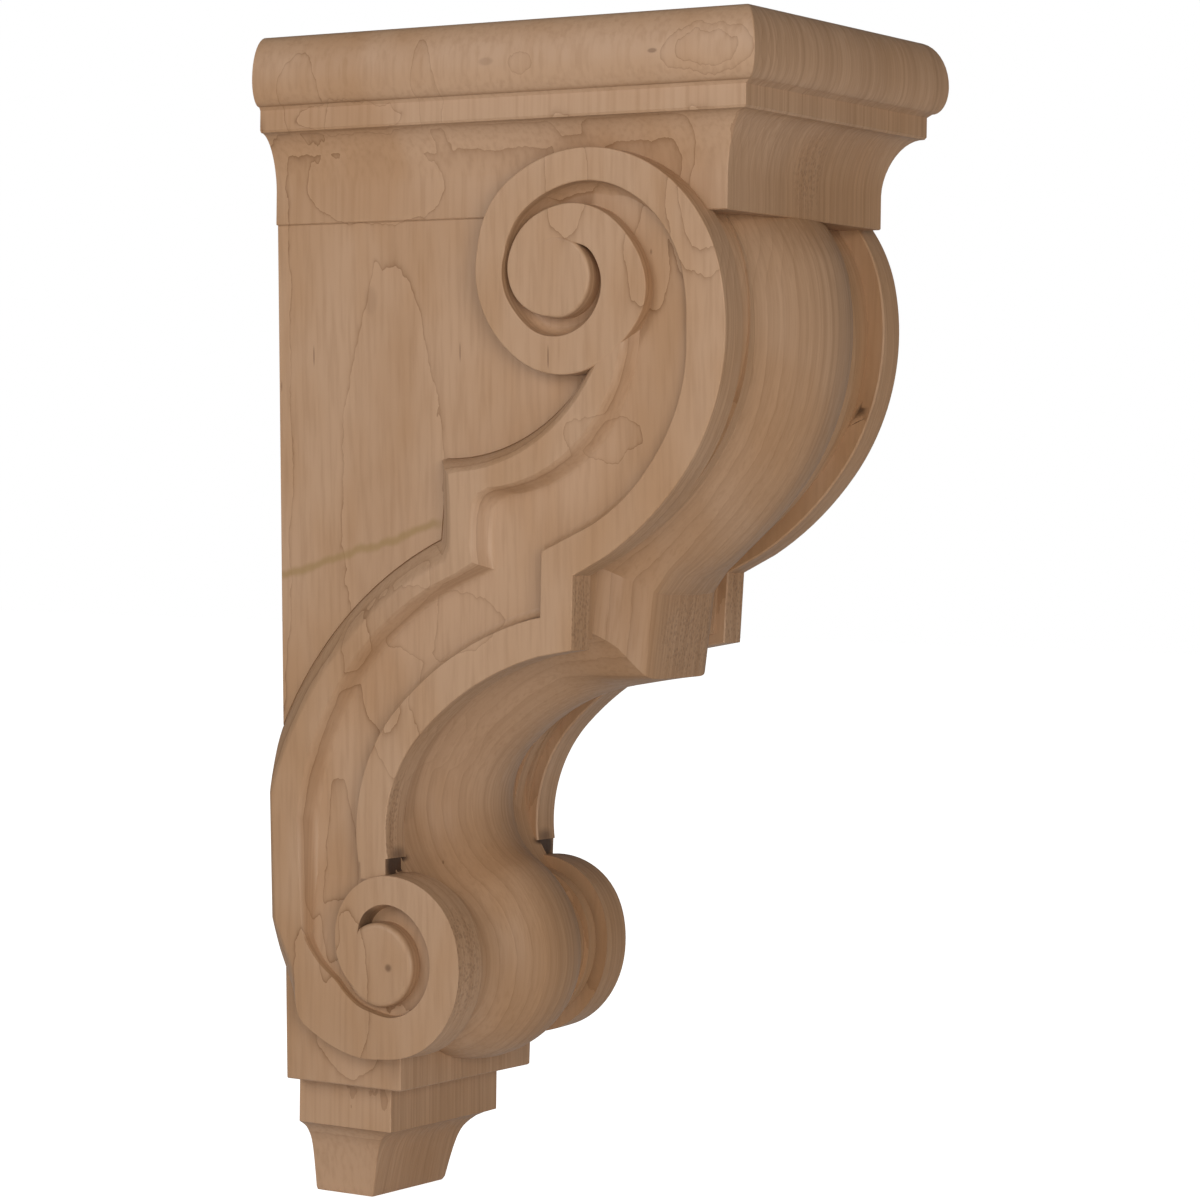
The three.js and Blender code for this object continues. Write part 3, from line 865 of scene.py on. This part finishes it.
def cap_profile():
    """From the underside up: a lip, a cove, a fillet and a slab with a rounded nose."""
    cove_bottom = cap_bottom + cap_lip_height
    fillet_bottom = cove_bottom + cap_cove_height
    slab_bottom = fillet_bottom + cap_fillet_height
    levels = [(-lip_ease, -lip_ease, cap_bottom), (0, 0, cap_bottom + lip_ease)]
    for a in quarter_turn(cove_steps):
        out = fillet_reach * cove_reach * (1 - math.cos(a)) ** cove_flatness
        levels.append((*out, cove_bottom + cap_cove_height * math.sin(a)))
    levels.append((*fillet_reach, fillet_bottom + small_step))
    levels.append((*fillet_reach, slab_bottom - lip_ease))
    for a in quarter_turn(nose_steps):
        rise = small_step + (slab_nose_height - small_step) * (1 - math.cos(a))
        levels.append((*(slab_reach - slab_bottom_ease * (1 - math.sin(a))), slab_bottom + rise))
    for a in quarter_turn(nose_steps)[1:]:
        rise = slab_nose_height + (cap_slab_height - slab_nose_height) * math.sin(a)
        levels.append((*(slab_reach - slab_top_ease * (1 - math.cos(a))), slab_bottom + rise))
    return levels


solids.append(mould("cap", cap_profile(), cap_half_width, cap_depth))

# %% The foot and the two blocks above it
foot_profile = [(0, 0), (0.5, 0.2), (0.72, 0.34), (0.845, 0.52), (0.92, 0.7), (0.985, 1)]
foot_steps = 22
foot_ease = 0.4
seam = 1.0
block_top = body_bottom + block_rise
growth = np.array([neck_half_width - foot_half_width, neck_depth - foot_depth])


def foot_levels():
    """The foot's profile: it flares on the way up to the size of the neck."""
    shares = np.linspace(0, foot_profile[-1][0], foot_steps)
    levels = [(*(growth * along(foot_profile, share)), foot_height * share) for share in shares]
    levels[0] = (-foot_ease, -foot_ease, 0)
    return [*levels, (*growth, foot_height + seam)]


def straight_block(name, bottom, top, half, depth, taper=0.0):
    """A block with eased lower edges, whose sides may lean outwards on the way up."""
    eased = [(-foot_ease, -foot_ease, bottom), (0, 0, bottom + foot_ease)]
    return mould(name, [*eased, (taper * (top - bottom), 0, top)], half, depth)


solids.append(mould("foot", foot_levels(), foot_half_width, foot_depth))
solids.append(straight_block("neck", foot_height, body_bottom + seam, neck_half_width, neck_depth))
solids.append(straight_block("block", body_bottom, block_top, panel_half_width_low, block_depth, lean))

# %% [markdown]
# ## Joining
# The corbel is one piece of wood, so the shapes are joined to one closed surface. The Boolean
# modifier's manifold solver does that exactly and fast, because each shape is closed by itself. What
# reaches into the wall is then sawn off flat.


# %% Join everything and cut it flat at the wall
saw_size = 200
saw_reach = 10


def combine(whole, operation, others):
    """Adds a Boolean step to an object for each of the others."""
    for other in others:
        step = whole.modifiers.new(operation.lower(), "BOOLEAN")
        step.operation = operation
        step.solver = "MANIFOLD"
        step.object = other


def joined(pieces, cuts):
    """One closed mesh of all pieces, without what the cuts and the saw at the wall take away."""
    whole = pieces[0]
    saw = mould("saw", [(0, 0, -saw_reach), (0, 0, total_height + saw_reach)], saw_size, saw_size)
    saw.data.transform(Matrix.Diagonal((1, -1, 1, 1)))
    face_outwards(saw.data)
    combine(whole, "UNION", pieces[1:])
    combine(whole, "DIFFERENCE", [*cuts, saw])
    return worked_out(whole)


carved = joined(solids, creases)
for helper in [o for o in bpy.context.scene.collection.objects if o.type == "MESH"]:
    if "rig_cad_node" not in helper:
        bpy.data.objects.remove(helper)
lowered = Matrix.Translation((0, 0, -total_height / 2))
carved.transform(Matrix.Scale(mm, 4) @ lowered)
carved.materials.clear()
carved.materials.append(maple)
corbel = add_object("carved_corbel", carved)
triangles = sum(len(face.vertices) - 2 for face in carved.polygons)
print("the joined corbel has", triangles, "triangles")

# %% [markdown]
# ## Shading
# Broad curves are shaded smooth, and an edge sharper than about 28 degrees is left crisp. Beside a
# flat panel an edge of 7 degrees already stays crisp. The normals are weighted by the area of the
# faces, so a panel stays evenly lit right up to its eased edge.

# %% Smooth curves, crisp edges, even flats
crisp = math.radians(28)
crisp_at_flat = math.radians(7)
level_angle = math.radians(0.05)
side_on = 0.99
barely_forward = 0.004


def is_flat(face):
    """True for the side panel and all that is parallel to it."""
    return abs(face.normal.x) > side_on and abs(face.normal.y) < barely_forward


def shade(mesh):
    """Merges level faces, marks the crisp edges and shades the rest smooth."""
    work = bmesh.new()
    work.from_mesh(mesh)
    bmesh.ops.dissolve_limit(work, angle_limit=level_angle, verts=work.verts, edges=work.edges)
    for edge in work.edges:
        limit = crisp_at_flat if any(map(is_flat, edge.link_faces)) else crisp
        edge.smooth = edge.calc_face_angle(0) < limit
    for face in work.faces:
        face.smooth = True
    work.to_mesh(mesh)
    print("faces:", len(work.faces), "open edges:", sum(not edge.is_manifold for edge in work.edges))
    work.free()


def weigh_normals(made):
    modifier = made.modifiers.new("weighted", "WEIGHTED_NORMAL")
    modifier.keep_sharp = True
    made.data = worked_out(made)


shade(corbel.data)
weigh_normals(corbel)
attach(corbel, "root")
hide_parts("corbel")

# %% [markdown]
# ## Camera
# The camera stands where the photograph's stood, worked out from the corbel's own level, upright and
# square edges. It is a long lens, about three times a normal one, so the lines barely converge.

# %% Camera
camera_place = Vector((-0.94279, -0.70686, 0.04044))
camera_yaw = math.radians(56.8226)
camera_pitch = math.radians(-1.6073)
camera_roll = math.radians(0.7548)
focal_pixels = 3723.489
image_pixels = 1200
sensor_width = 36
nearest_seen = 0.01


def place_camera():
    """The photograph's camera. It looks along yaw and pitch, and is turned a little about that line."""
    ahead = math.cos(camera_pitch)
    forward = Vector((ahead * math.sin(camera_yaw), ahead * math.cos(camera_yaw), math.sin(camera_pitch)))
    level = Vector((math.cos(camera_yaw), -math.sin(camera_yaw), 0))
    right = math.cos(camera_roll) * level + math.sin(camera_roll) * level.cross(forward)
    data = bpy.data.cameras.new("camera")
    data.sensor_width = sensor_width
    data.lens = sensor_width * focal_pixels / image_pixels
    data.clip_start = nearest_seen
    made = add_object("camera", data)
    turn = Matrix((right, right.cross(forward), -forward)).transposed().to_4x4()
    made.matrix_world = Matrix.Translation(camera_place) @ turn
    bpy.context.scene.camera = made
    print("lens", round(data.lens, 1), "mm")


place_camera()

# %% [markdown]
# ## Maple
# Maple is pale and plain, and its figure comes from growth rings. The boards are sawn so that the rings
# lie nearly flat to the side, so a ring shows only where the carving or a swelling of the ring cuts
# through it, as a contour line does on a map. A picture of wood wrapped round the corbel would run
# the wrong way over the carving. Here the rings are a solid field, worked out from the place of each
# point in the wood, so the lines follow every hollow as they do in real timber.
#
# Each effect is a node group: it takes the place in the wood and gives one value or mask.

# %% Groups that read a place in the wood, in millimetres
ring_spacing = 4.2
panel_ring = 0.5
deepest_ring = 8.4
swelling_sizes = [("Centre", "Vector"), ("Size", "Vector"), ("Core", "Float"), ("Rim", "Float")]
swelling_sizes.append(("Height", "Float"))


def wood_group(name, results, work, sizes=()):
    """A shader group that reads a place and named sizes. Its work gives one socket for each result."""
    tree = bpy.data.node_groups.new(name, "ShaderNodeTree")
    add_sockets(tree, "INPUT", [("Place", "Vector"), *sizes])
    add_sockets(tree, "OUTPUT", [(label, "Float") for label in results])
    given = tree.nodes.new("NodeGroupInput").outputs
    made = tree.nodes.new("NodeGroupOutput").inputs
    for value, socket in zip(work(tree, given), made):
        tree.links.new(value, socket)
    print(f"nodes in {name}:", len(tree.nodes))
    return tree


def use_group(tree, group, *inputs):
    """Places a group in a tree and returns its outputs."""
    return add_node(tree, "ShaderNodeGroup", inputs, node_tree=group).node.outputs


def ramp(tree, value, low, high, bottom=0.0, top=1.0):
    """A smooth change from one value to another."""
    inputs = [value, low, high, bottom, top]
    return add_node(tree, "ShaderNodeMapRange", inputs, interpolation_type="SMOOTHSTEP")


def stretched(tree, place, factors):
    return vectors(tree, "MULTIPLY", place, factors)


def noise(tree, place, factors, detail=2.0, output=0):
    """Noise whose grains are stretched by giving each axis its own scale."""
    return add_node(tree, "ShaderNodeTexNoise", [stretched(tree, place, factors), None, 1.0, detail], output)


def cells(tree, place, factors):
    """Scattered cells: how far a place is from the middle of its cell, and the cell's own colour."""
    return add_node(tree, "ShaderNodeTexVoronoi", [stretched(tree, place, factors), None, 1.0]).node.outputs


def swell(tree, given):
    """One soft-edged swelling: its height inside, nought outside, in the shape of an ellipsoid."""
    offset = vectors(tree, "SUBTRACT", given["Place"], given["Centre"])
    offset = vectors(tree, "DIVIDE", offset, given["Size"])
    far = add_node(tree, "ShaderNodeVectorMath", [offset], output=1, operation="LENGTH")
    return [ramp(tree, far, given["Core"], given["Rim"], given["Height"], 0.0)]


swelling = wood_group("swelling", ["Level"], swell, swelling_sizes)

# %% [markdown]
# ## The growth rings
# The lift above the side panel, divided by the distance between two rings, tells which ring a point
# lies in. Named swellings push the rings outwards where the wood shows a loop, an arch or an eye, and
# noise makes the lines ragged. A ring ends in a thin darker line, so the share of the ring that has
# passed is raised to a high power.

# %% Rings
# each shake of the lines: its noise along the three axes, its detail, and its size in millimetres
shakes = [((0.01, 0.045, 0.018), 1.0, 9.0), ((0.05, 0.24, 0.1), 3.5, 4.6)]
shake_inwards = 0.25
line_sharpness = 11.0
faint_depths = (-9.0, -2.0)
faint_line = 0.4
# each swelling: centre (x, y, z), size, core, rim, height in rings
swellings = {
    "arch on the panel": [(-42, -42.5, 36), (60, 20, 72), 0.8, 1.15, 1.2],
    "horn on the arch": [(-42, -35.5, 103), (60, 2.4, 8), 0.5, 1.3, 0.45],
    "line by the wall": [(-42, 2, 60), (60, 6.5, 95), 0.7, 1.3, 0.9],
    "oval on the cove": [(-57, -37, 132.5), (60, 26, 11), 0.82, 1.12, 0.85],
    "corner of the cove": [(-50, -158, 126), (60, 15, 26), 0.3, 1.2, 2.2],
    "oval on the fillet": [(-53, -33, 152.5), (60, 20, 4.6), 0.75, 1.2, 1.0],
    "first arch on the slab": [(-57, -17, 158), (60, 9, 13), 0.8, 1.2, -1.0],
    "second arch on the slab": [(-57, -63.5, 158), (60, 4.5, 16), 0.7, 1.3, -0.9],
    "ring on the slab": [(-57, -98.6, 165), (60, 4.2, 3.6), 0.6, 1.3, -1.0],
    "arch at the corner of the slab": [(-57, -160, 165), (60, 17, 7.5), 0.25, 1.15, -2.3],
    "hollow of the arm": [(-44, -121, 57), (60, 12, 5.5), 0.75, 1.25, -0.75],
    "hollow below the knee": [(-44, -60, 2), (60, 25, 10.5), 0.82, 1.14, -0.8],
    "loop on the lower band": [(-50, -51, -33), (60, 8, 12), 0.75, 1.2, 0.75],
    "eye of the channel": [(-44, -137, 108), (60, 9, 22), 0.3, 1.1, 1.1],
    "swelling of the lower channel": [(-44, -23, -78), (60, 6, 30), 0.7, 1.2, -0.7],
    "swelling of the ring": [(-48, -24, -112), (60, 17, 30), 0.8, 1.15, 0.8],
    "arch on the coil": [(-50, -111, 132), (60, 9, 20), 0.7, 1.2, 0.75],
}


def grow_rings(tree, given):
    """The thin line that ends each ring, and the share of the ring that has passed."""
    shaken = given["Place"]
    for factors, detail, size in shakes:
        field = noise(tree, given["Place"], factors, detail, output=1)
        push = vectors(tree, "SUBTRACT", field, (0.5, 0.5, 0.5))
        push = vectors(tree, "MULTIPLY", push, (size * shake_inwards, size, size))
        shaken = vectors(tree, "ADD", shaken, push)
    x, y, z = axes_of(tree, shaken)[:3]
    panel = maths(tree, "MULTIPLY_ADD", z, lean, half_width(total_height / 2))
    lift = maths(tree, "SUBTRACT", times(tree, x, -1.0), panel)
    lift = maths(tree, "MINIMUM", lift, deepest_ring)
    level = maths(tree, "MULTIPLY_ADD", lift, 1 / ring_spacing, panel_ring)
    for values in swellings.values():
        level = maths(tree, "ADD", level, use_group(tree, swelling, shaken, *values)[0])
    passed = maths(tree, "FRACT", level)
    near_side = ramp(tree, lift, *faint_depths, faint_line, 1.0)
    return times(tree, maths(tree, "POWER", passed, line_sharpness), near_side), passed


rings = wood_group("growth_rings", ["Line", "Passed"], grow_rings)

# %% [markdown]
# ## Grain, flecks and end grain
# Between the rings maple shows fine upright streaks, softer clouds of pink and yellow, and a few short
# dark flecks along the grain. Where the knee's blocks cut across the fibres, the end grain shows as
# tiny dots. The boards that were glued side by side show as upright stripes down the front.

# %% Grain and end grain
# each noise: how fast it changes along the three axes, and its detail
grain_noise = {
    "Streaks": [(1.3, 0.6, 0.02), 5.0],
    "Clouds": [(0.012, 0.03, 0.014), 3.0],
    "Front Streaks": [(1.1, 0.02, 0.012), 4.0],
    "Boards": [(0.17, 0.002, 0.0025), 3.0],
}
board_edge = (0.35, 0.65)
fleck_cells = (0.1, 0.1, 0.016)
fleck_edge = (0.045, 0.015)
fleck_choice = (0.5, 0.6)
# each spot: centre (x, y, z), size, strength
end_grain_spots = {
    "near strip of the knee": [(-43.5, -112, 6), (5.5, 4, 14), 1.0],
    "front of the block": [(5, -121, -1), (17, 6, 14), 1.0],
    "far strip of the knee": [(43.5, -112, 6), (7, 4, 14), 1.0],
    "front of the cap": [(0, -168, 134), (10, 12, 13), 1.0],
    "strip of the ring": [(-42, -76, -98), (8, 14, 22), 1.0],
    "strip above the notch": [(-43, -46, -58), (3.5, 6, 16), 1.0],
}
spot_core = 0.6
spot_rim = 1.3
dot_cells = (1.0, 1.0, 0.75)
dot_edge = (0.58, 0.2)
faces_front = (-0.5, -0.85)


def grow_grain(tree, given):
    """Fine streaks, soft clouds, glued boards, and short flecks in some of the cells."""
    results = [noise(tree, given["Place"], *values) for values in grain_noise.values()]
    boards = ramp(tree, results.pop(), *board_edge)
    fleck = cells(tree, given["Place"], fleck_cells)
    near = ramp(tree, fleck["Distance"], *fleck_edge)
    chosen = ramp(tree, axes_of(tree, fleck["Color"])[0], *fleck_choice)
    return [*results, boards, times(tree, near, chosen)]


def any_spot(tree, place, spots, rim):
    """A mask that is as strong as the strongest of several soft spots."""
    covered = None
    for centre, size, strength in spots.values():
        spot = use_group(tree, swelling, place, centre, size, spot_core, rim, strength)[0]
        covered = spot if covered is None else maths(tree, "MAXIMUM", covered, spot)
    return covered


def cut_across(tree, given):
    """The dots of the end grain, at the named spots and only where the wood faces forward."""
    where = any_spot(tree, given["Place"], end_grain_spots, spot_rim)
    dots = ramp(tree, cells(tree, given["Place"], dot_cells)["Distance"], *dot_edge)
    facing = axes_of(tree, add_node(tree, "ShaderNodeNewGeometry", output=1))[1]
    return [times(tree, dots, where, ramp(tree, facing, *faces_front))]


grain = wood_group("grain", [*grain_noise, "Flecks"], grow_grain)
end_grain = wood_group("end_grain", ["Dots"], cut_across)

# %% [markdown]
# ## Marks in the wood
# A brownish mineral streak crosses the panel, there is a pin knot in the lower eye, and the cutter
# burnt the wood where it stopped at the notches. The groove of the lower eye and a corner of the
# knee get the same near-black as painted shade. They are soft spots at named places.

# %% Mineral streak, knot, burnt notches and painted shade
streak_height = 14.5
streak_rise = 0.28
streak_waver = [(0.02, 0.12, 0.05), 3.0]
waver_size = 5.0
streak_edge = (2.1, 0.2)
streak_side = (-36.0, -40.0)
streak_end = (-64.0, -56.0)
knot_rim = 1.25
# dark spots: near-black burn where the cutter stopped at the notches, and painted shade in the lower eye's
# groove and the knee's corner
scorch_and_shade_spots = {
    "left notch": [(-39.4, -44.3, -71.4), (5.8, 0.9, 5.2), 0.95],
    "right notch": [(39.4, -44.3, -71.4), (5.8, 0.9, 5.2), 0.95],
    "shade in the groove of the lower eye": [(-45, -34.5, -87.5), (8, 6.0, 5.0), 0.6],
    "shade in the corner of the knee": [(-46, -96.5, 3.6), (6, 5.5, 2.5), 0.5],
}
knots = {
    "pin knot": [(-49, -46, -102), (6, 1.5, 1.5), 0.8],
    "blotch on the panel": [(-44, -35, 98), (5, 2.4, 4.6), 0.16],
    "fleck on the panel": [(-44, -13.3, 81.7), (5, 0.28, 3.2), 0.6],
    "second fleck on the panel": [(-44, -67.7, 82.3), (5, 0.25, 3.0), 0.6],
    "fleck on the volute": [(-50, -104.4, 80.2), (5, 0.3, 3.4), 0.6],
    "knot in the channel": [(-44, -137.4, 109.9), (5, 0.6, 1.1), 0.7],
    "spot on the slab": [(-57, -86, 165.5), (5, 2.6, 1.2), 0.25],
    "fleck on the slab": [(-57, -143, 165.6), (5, 1.6, 0.7), 0.6],
}


def stain(tree, given):
    """The mineral streak, which rises a little towards the front, the burnt notches with painted shade in
    two hollows, and the knots.
    """
    place = given["Place"]
    x, y, z = axes_of(tree, place)[:3]
    middle = maths(tree, "MULTIPLY_ADD", y, -streak_rise, streak_height)
    waver = maths(tree, "MULTIPLY_ADD", noise(tree, place, *streak_waver), waver_size, -waver_size / 2)
    off = maths(tree, "ABSOLUTE", maths(tree, "ADD", maths(tree, "SUBTRACT", z, middle), waver))
    line = ramp(tree, off, *streak_edge)
    mineral = times(tree, line, ramp(tree, x, *streak_side), ramp(tree, y, *streak_end))
    spots = [(scorch_and_shade_spots, spot_rim), (knots, knot_rim)]
    return [mineral, *[any_spot(tree, place, *named) for named in spots]]


marks = wood_group("marks", ["Mineral", "Scorch and Shade", "Knots"], stain)

# %% [markdown]
# ## The finish
# The corbel is sanded and not yet painted or oiled, so it has a low satin sheen. The colours are mixed
# one over another, from the broad clouds to the small flecks, and the same lines raise a very fine
# relief, because the hard end of each ring stands a little proud after sanding.

# %% Mix the colours
pale_wood = (0.465, 0.292, 0.178, 1)
warm_wood = (0.415, 0.240, 0.127, 1)
line_wood = (0.215, 0.103, 0.040, 1)
board_wood = (0.310, 0.180, 0.096, 1)
fleck_wood = (0.15, 0.072, 0.032, 1)
mineral_wood = (0.30, 0.185, 0.068, 1)
# near-black: the cutter's burn at the notches, and painted shade in two hollows
scorch_and_shade_wood = (0.045, 0.022, 0.012, 1)
board_strength = 0.3
passed_strength = 0.12
mineral_strength = 0.7
dot_strength = 0.34
fleck_strength = 0.7
line_strength = 0.9
less_in_front = -0.4
front_turn = (0.75, 0.3)
scorch_and_shade_turn = (0.6, 0.3)
# each ramp: where it starts and ends, and its values there
warm_clouds = (0.36, 0.64)
cloudy_lines = (0.35, 0.6, 0.5, 1.0)
side_streaks = (0.4, 0.75, 0.0, 0.2)
front_streaks = (0.4, 0.72, 0.0, 0.34)
satin = (0.3, 0.8, 0.46, 0.62)
dot_depth = -1.4
relief_strength = 0.22
relief_distance = 0.0003


def blend(tree, factor, first, second):
    """One colour over another, by a mask."""
    inputs = [factor, *[None] * 5, first, second]
    return add_node(tree, "ShaderNodeMix", inputs, output=2, data_type="RGBA")


def finish_maple():
    """Mixes the wood's colours one over another, and sets its sheen and its fine relief."""
    maple.use_nodes = True
    tree = maple.node_tree
    shader = tree.nodes["Principled BSDF"]
    in_metres = add_node(tree, "ShaderNodeTexCoord", output=3)
    place = stretched(tree, in_metres, (1 / mm, 1 / mm, 1 / mm))
    ring, lines, ends, mark = (use_group(tree, group, place) for group in (rings, grain, end_grain, marks))
    sideways = maths(tree, "ABSOLUTE", axes_of(tree, add_node(tree, "ShaderNodeNewGeometry", output=1))[0])
    at_front = ramp(tree, sideways, *front_turn)

    strength = maths(tree, "MULTIPLY_ADD", at_front, less_in_front, line_strength)
    line = times(tree, ring["Line"], ramp(tree, lines["Clouds"], *cloudy_lines), strength)
    in_front = times(tree, ramp(tree, lines["Front Streaks"], *front_streaks), at_front)
    streaks = maths(tree, "MAXIMUM", ramp(tree, lines["Streaks"], *side_streaks), in_front)
    # the burn at the notches and the painted shade in two hollows, kept off faces that look sideways
    scorch_and_shade = times(tree, mark["Scorch and Shade"], ramp(tree, sideways, *scorch_and_shade_turn))
    coats = [
        (ramp(tree, lines["Clouds"], *warm_clouds), warm_wood),
        (times(tree, lines["Boards"], at_front, board_strength), board_wood),
        (times(tree, ring["Passed"], passed_strength), line_wood),
        (line, line_wood),
        (streaks, line_wood),
        (times(tree, mark["Mineral"], mineral_strength), mineral_wood),
        (times(tree, ends["Dots"], dot_strength), fleck_wood),
        (times(tree, lines["Flecks"], fleck_strength), fleck_wood),
        (mark["Knots"], fleck_wood),
        (scorch_and_shade, scorch_and_shade_wood),
    ]
    colour = pale_wood
    for mask, coat in coats:
        colour = blend(tree, mask, colour, coat)
    tree.links.new(colour, shader.inputs["Base Color"])
    tree.links.new(ramp(tree, lines["Streaks"], *satin), shader.inputs["Roughness"])

    bump = tree.nodes.new("ShaderNodeBump")
    bump.inputs["Strength"].default_value = relief_strength
    bump.inputs["Distance"].default_value = relief_distance
    height = maths(tree, "MULTIPLY_ADD", ends["Dots"], dot_depth, lines["Streaks"])
    tree.links.new(height, bump.inputs["Height"])
    tree.links.new(bump.outputs[0], shader.inputs["Normal"])
    print("the maple's own tree has", len(tree.nodes), "nodes")


finish_maple()

# %% [markdown]
# ## Light and floor
# Two large soft boxes light the corbel: one at its left side, and one nearer to the camera for the
# front and the sides of the carving. The room is white, but gives little light of its own, so that the
# hollows stay darker.

# %% Soft boxes
studio = bpy.context.scene
studio.view_settings.view_transform = "Standard"


def soft_box(name, azimuth, elevation, distance, size, power, colour=(1, 1, 1)):
    """A square soft light that faces the corbel. Azimuth 0 is in front of it, and -90 at its left side."""
    turn, rise = math.radians(azimuth), math.radians(elevation)
    away = Vector((math.sin(turn) * math.cos(rise), -math.cos(turn) * math.cos(rise), math.sin(rise)))
    data = bpy.data.lights.new(name, "AREA")
    data.shape = "SQUARE"
    data.size = size
    data.energy = power
    data.color = colour
    lamp = add_object(name, data)
    facing = away.to_track_quat("Z", "Y").to_matrix().to_4x4()
    lamp.matrix_world = Matrix.Translation(away * distance) @ facing
    print(name, "stands at", [round(part, 2) for part in away * distance])


soft_box("side_box", -110, 26, 1.6, 0.9, 8.6)
soft_box("front_box", -42, 2, 1.9, 1.0, 22.0, (1.0, 0.95, 0.88))


# %% White room and pale floor
white = (1, 1, 1, 1)
room_light = 0.15
floor_glow = 0.16
floor_size = 8
floor_gap = 0.0005
floor_grey = (0.8, 0.8, 0.8, 1)
floor_roughness = 0.9


def white_room():
    """A world that looks white behind the corbel and lights it only a little."""
    world = bpy.data.worlds.new("room")
    world.use_nodes = True
    tree = world.node_tree
    seen = tree.nodes["Background"]
    seen.inputs["Color"].default_value = white
    lighting = add_node(tree, "ShaderNodeBackground", [white, room_light])
    camera_ray = add_node(tree, "ShaderNodeLightPath")
    either = add_node(tree, "ShaderNodeMixShader", [camera_ray, lighting, seen.outputs[0]])
    tree.links.new(either, tree.nodes["World Output"].inputs[0])
    studio.world = world


def pale_floor():
    """A wide pale floor, bright enough to run into the white behind it."""
    bpy.ops.mesh.primitive_plane_add(size=floor_size, location=(0, 0, cad_box[0][2] - floor_gap))
    floor = bpy.context.object
    floor.name = "floor"
    pale = bpy.data.materials.new("pale_floor")
    pale.use_nodes = True
    shader = pale.node_tree.nodes["Principled BSDF"]
    shader.inputs["Base Color"].default_value = floor_grey
    shader.inputs["Roughness"].default_value = floor_roughness
    shader.inputs["Emission Color"].default_value = white
    camera_ray = add_node(pale.node_tree, "ShaderNodeLightPath")
    glow = maths(pale.node_tree, "MULTIPLY_ADD", camera_ray, 1 - floor_glow, floor_glow)
    pale.node_tree.links.new(glow, shader.inputs["Emission Strength"])
    floor.data.materials.append(pale)


white_room()
pale_floor()
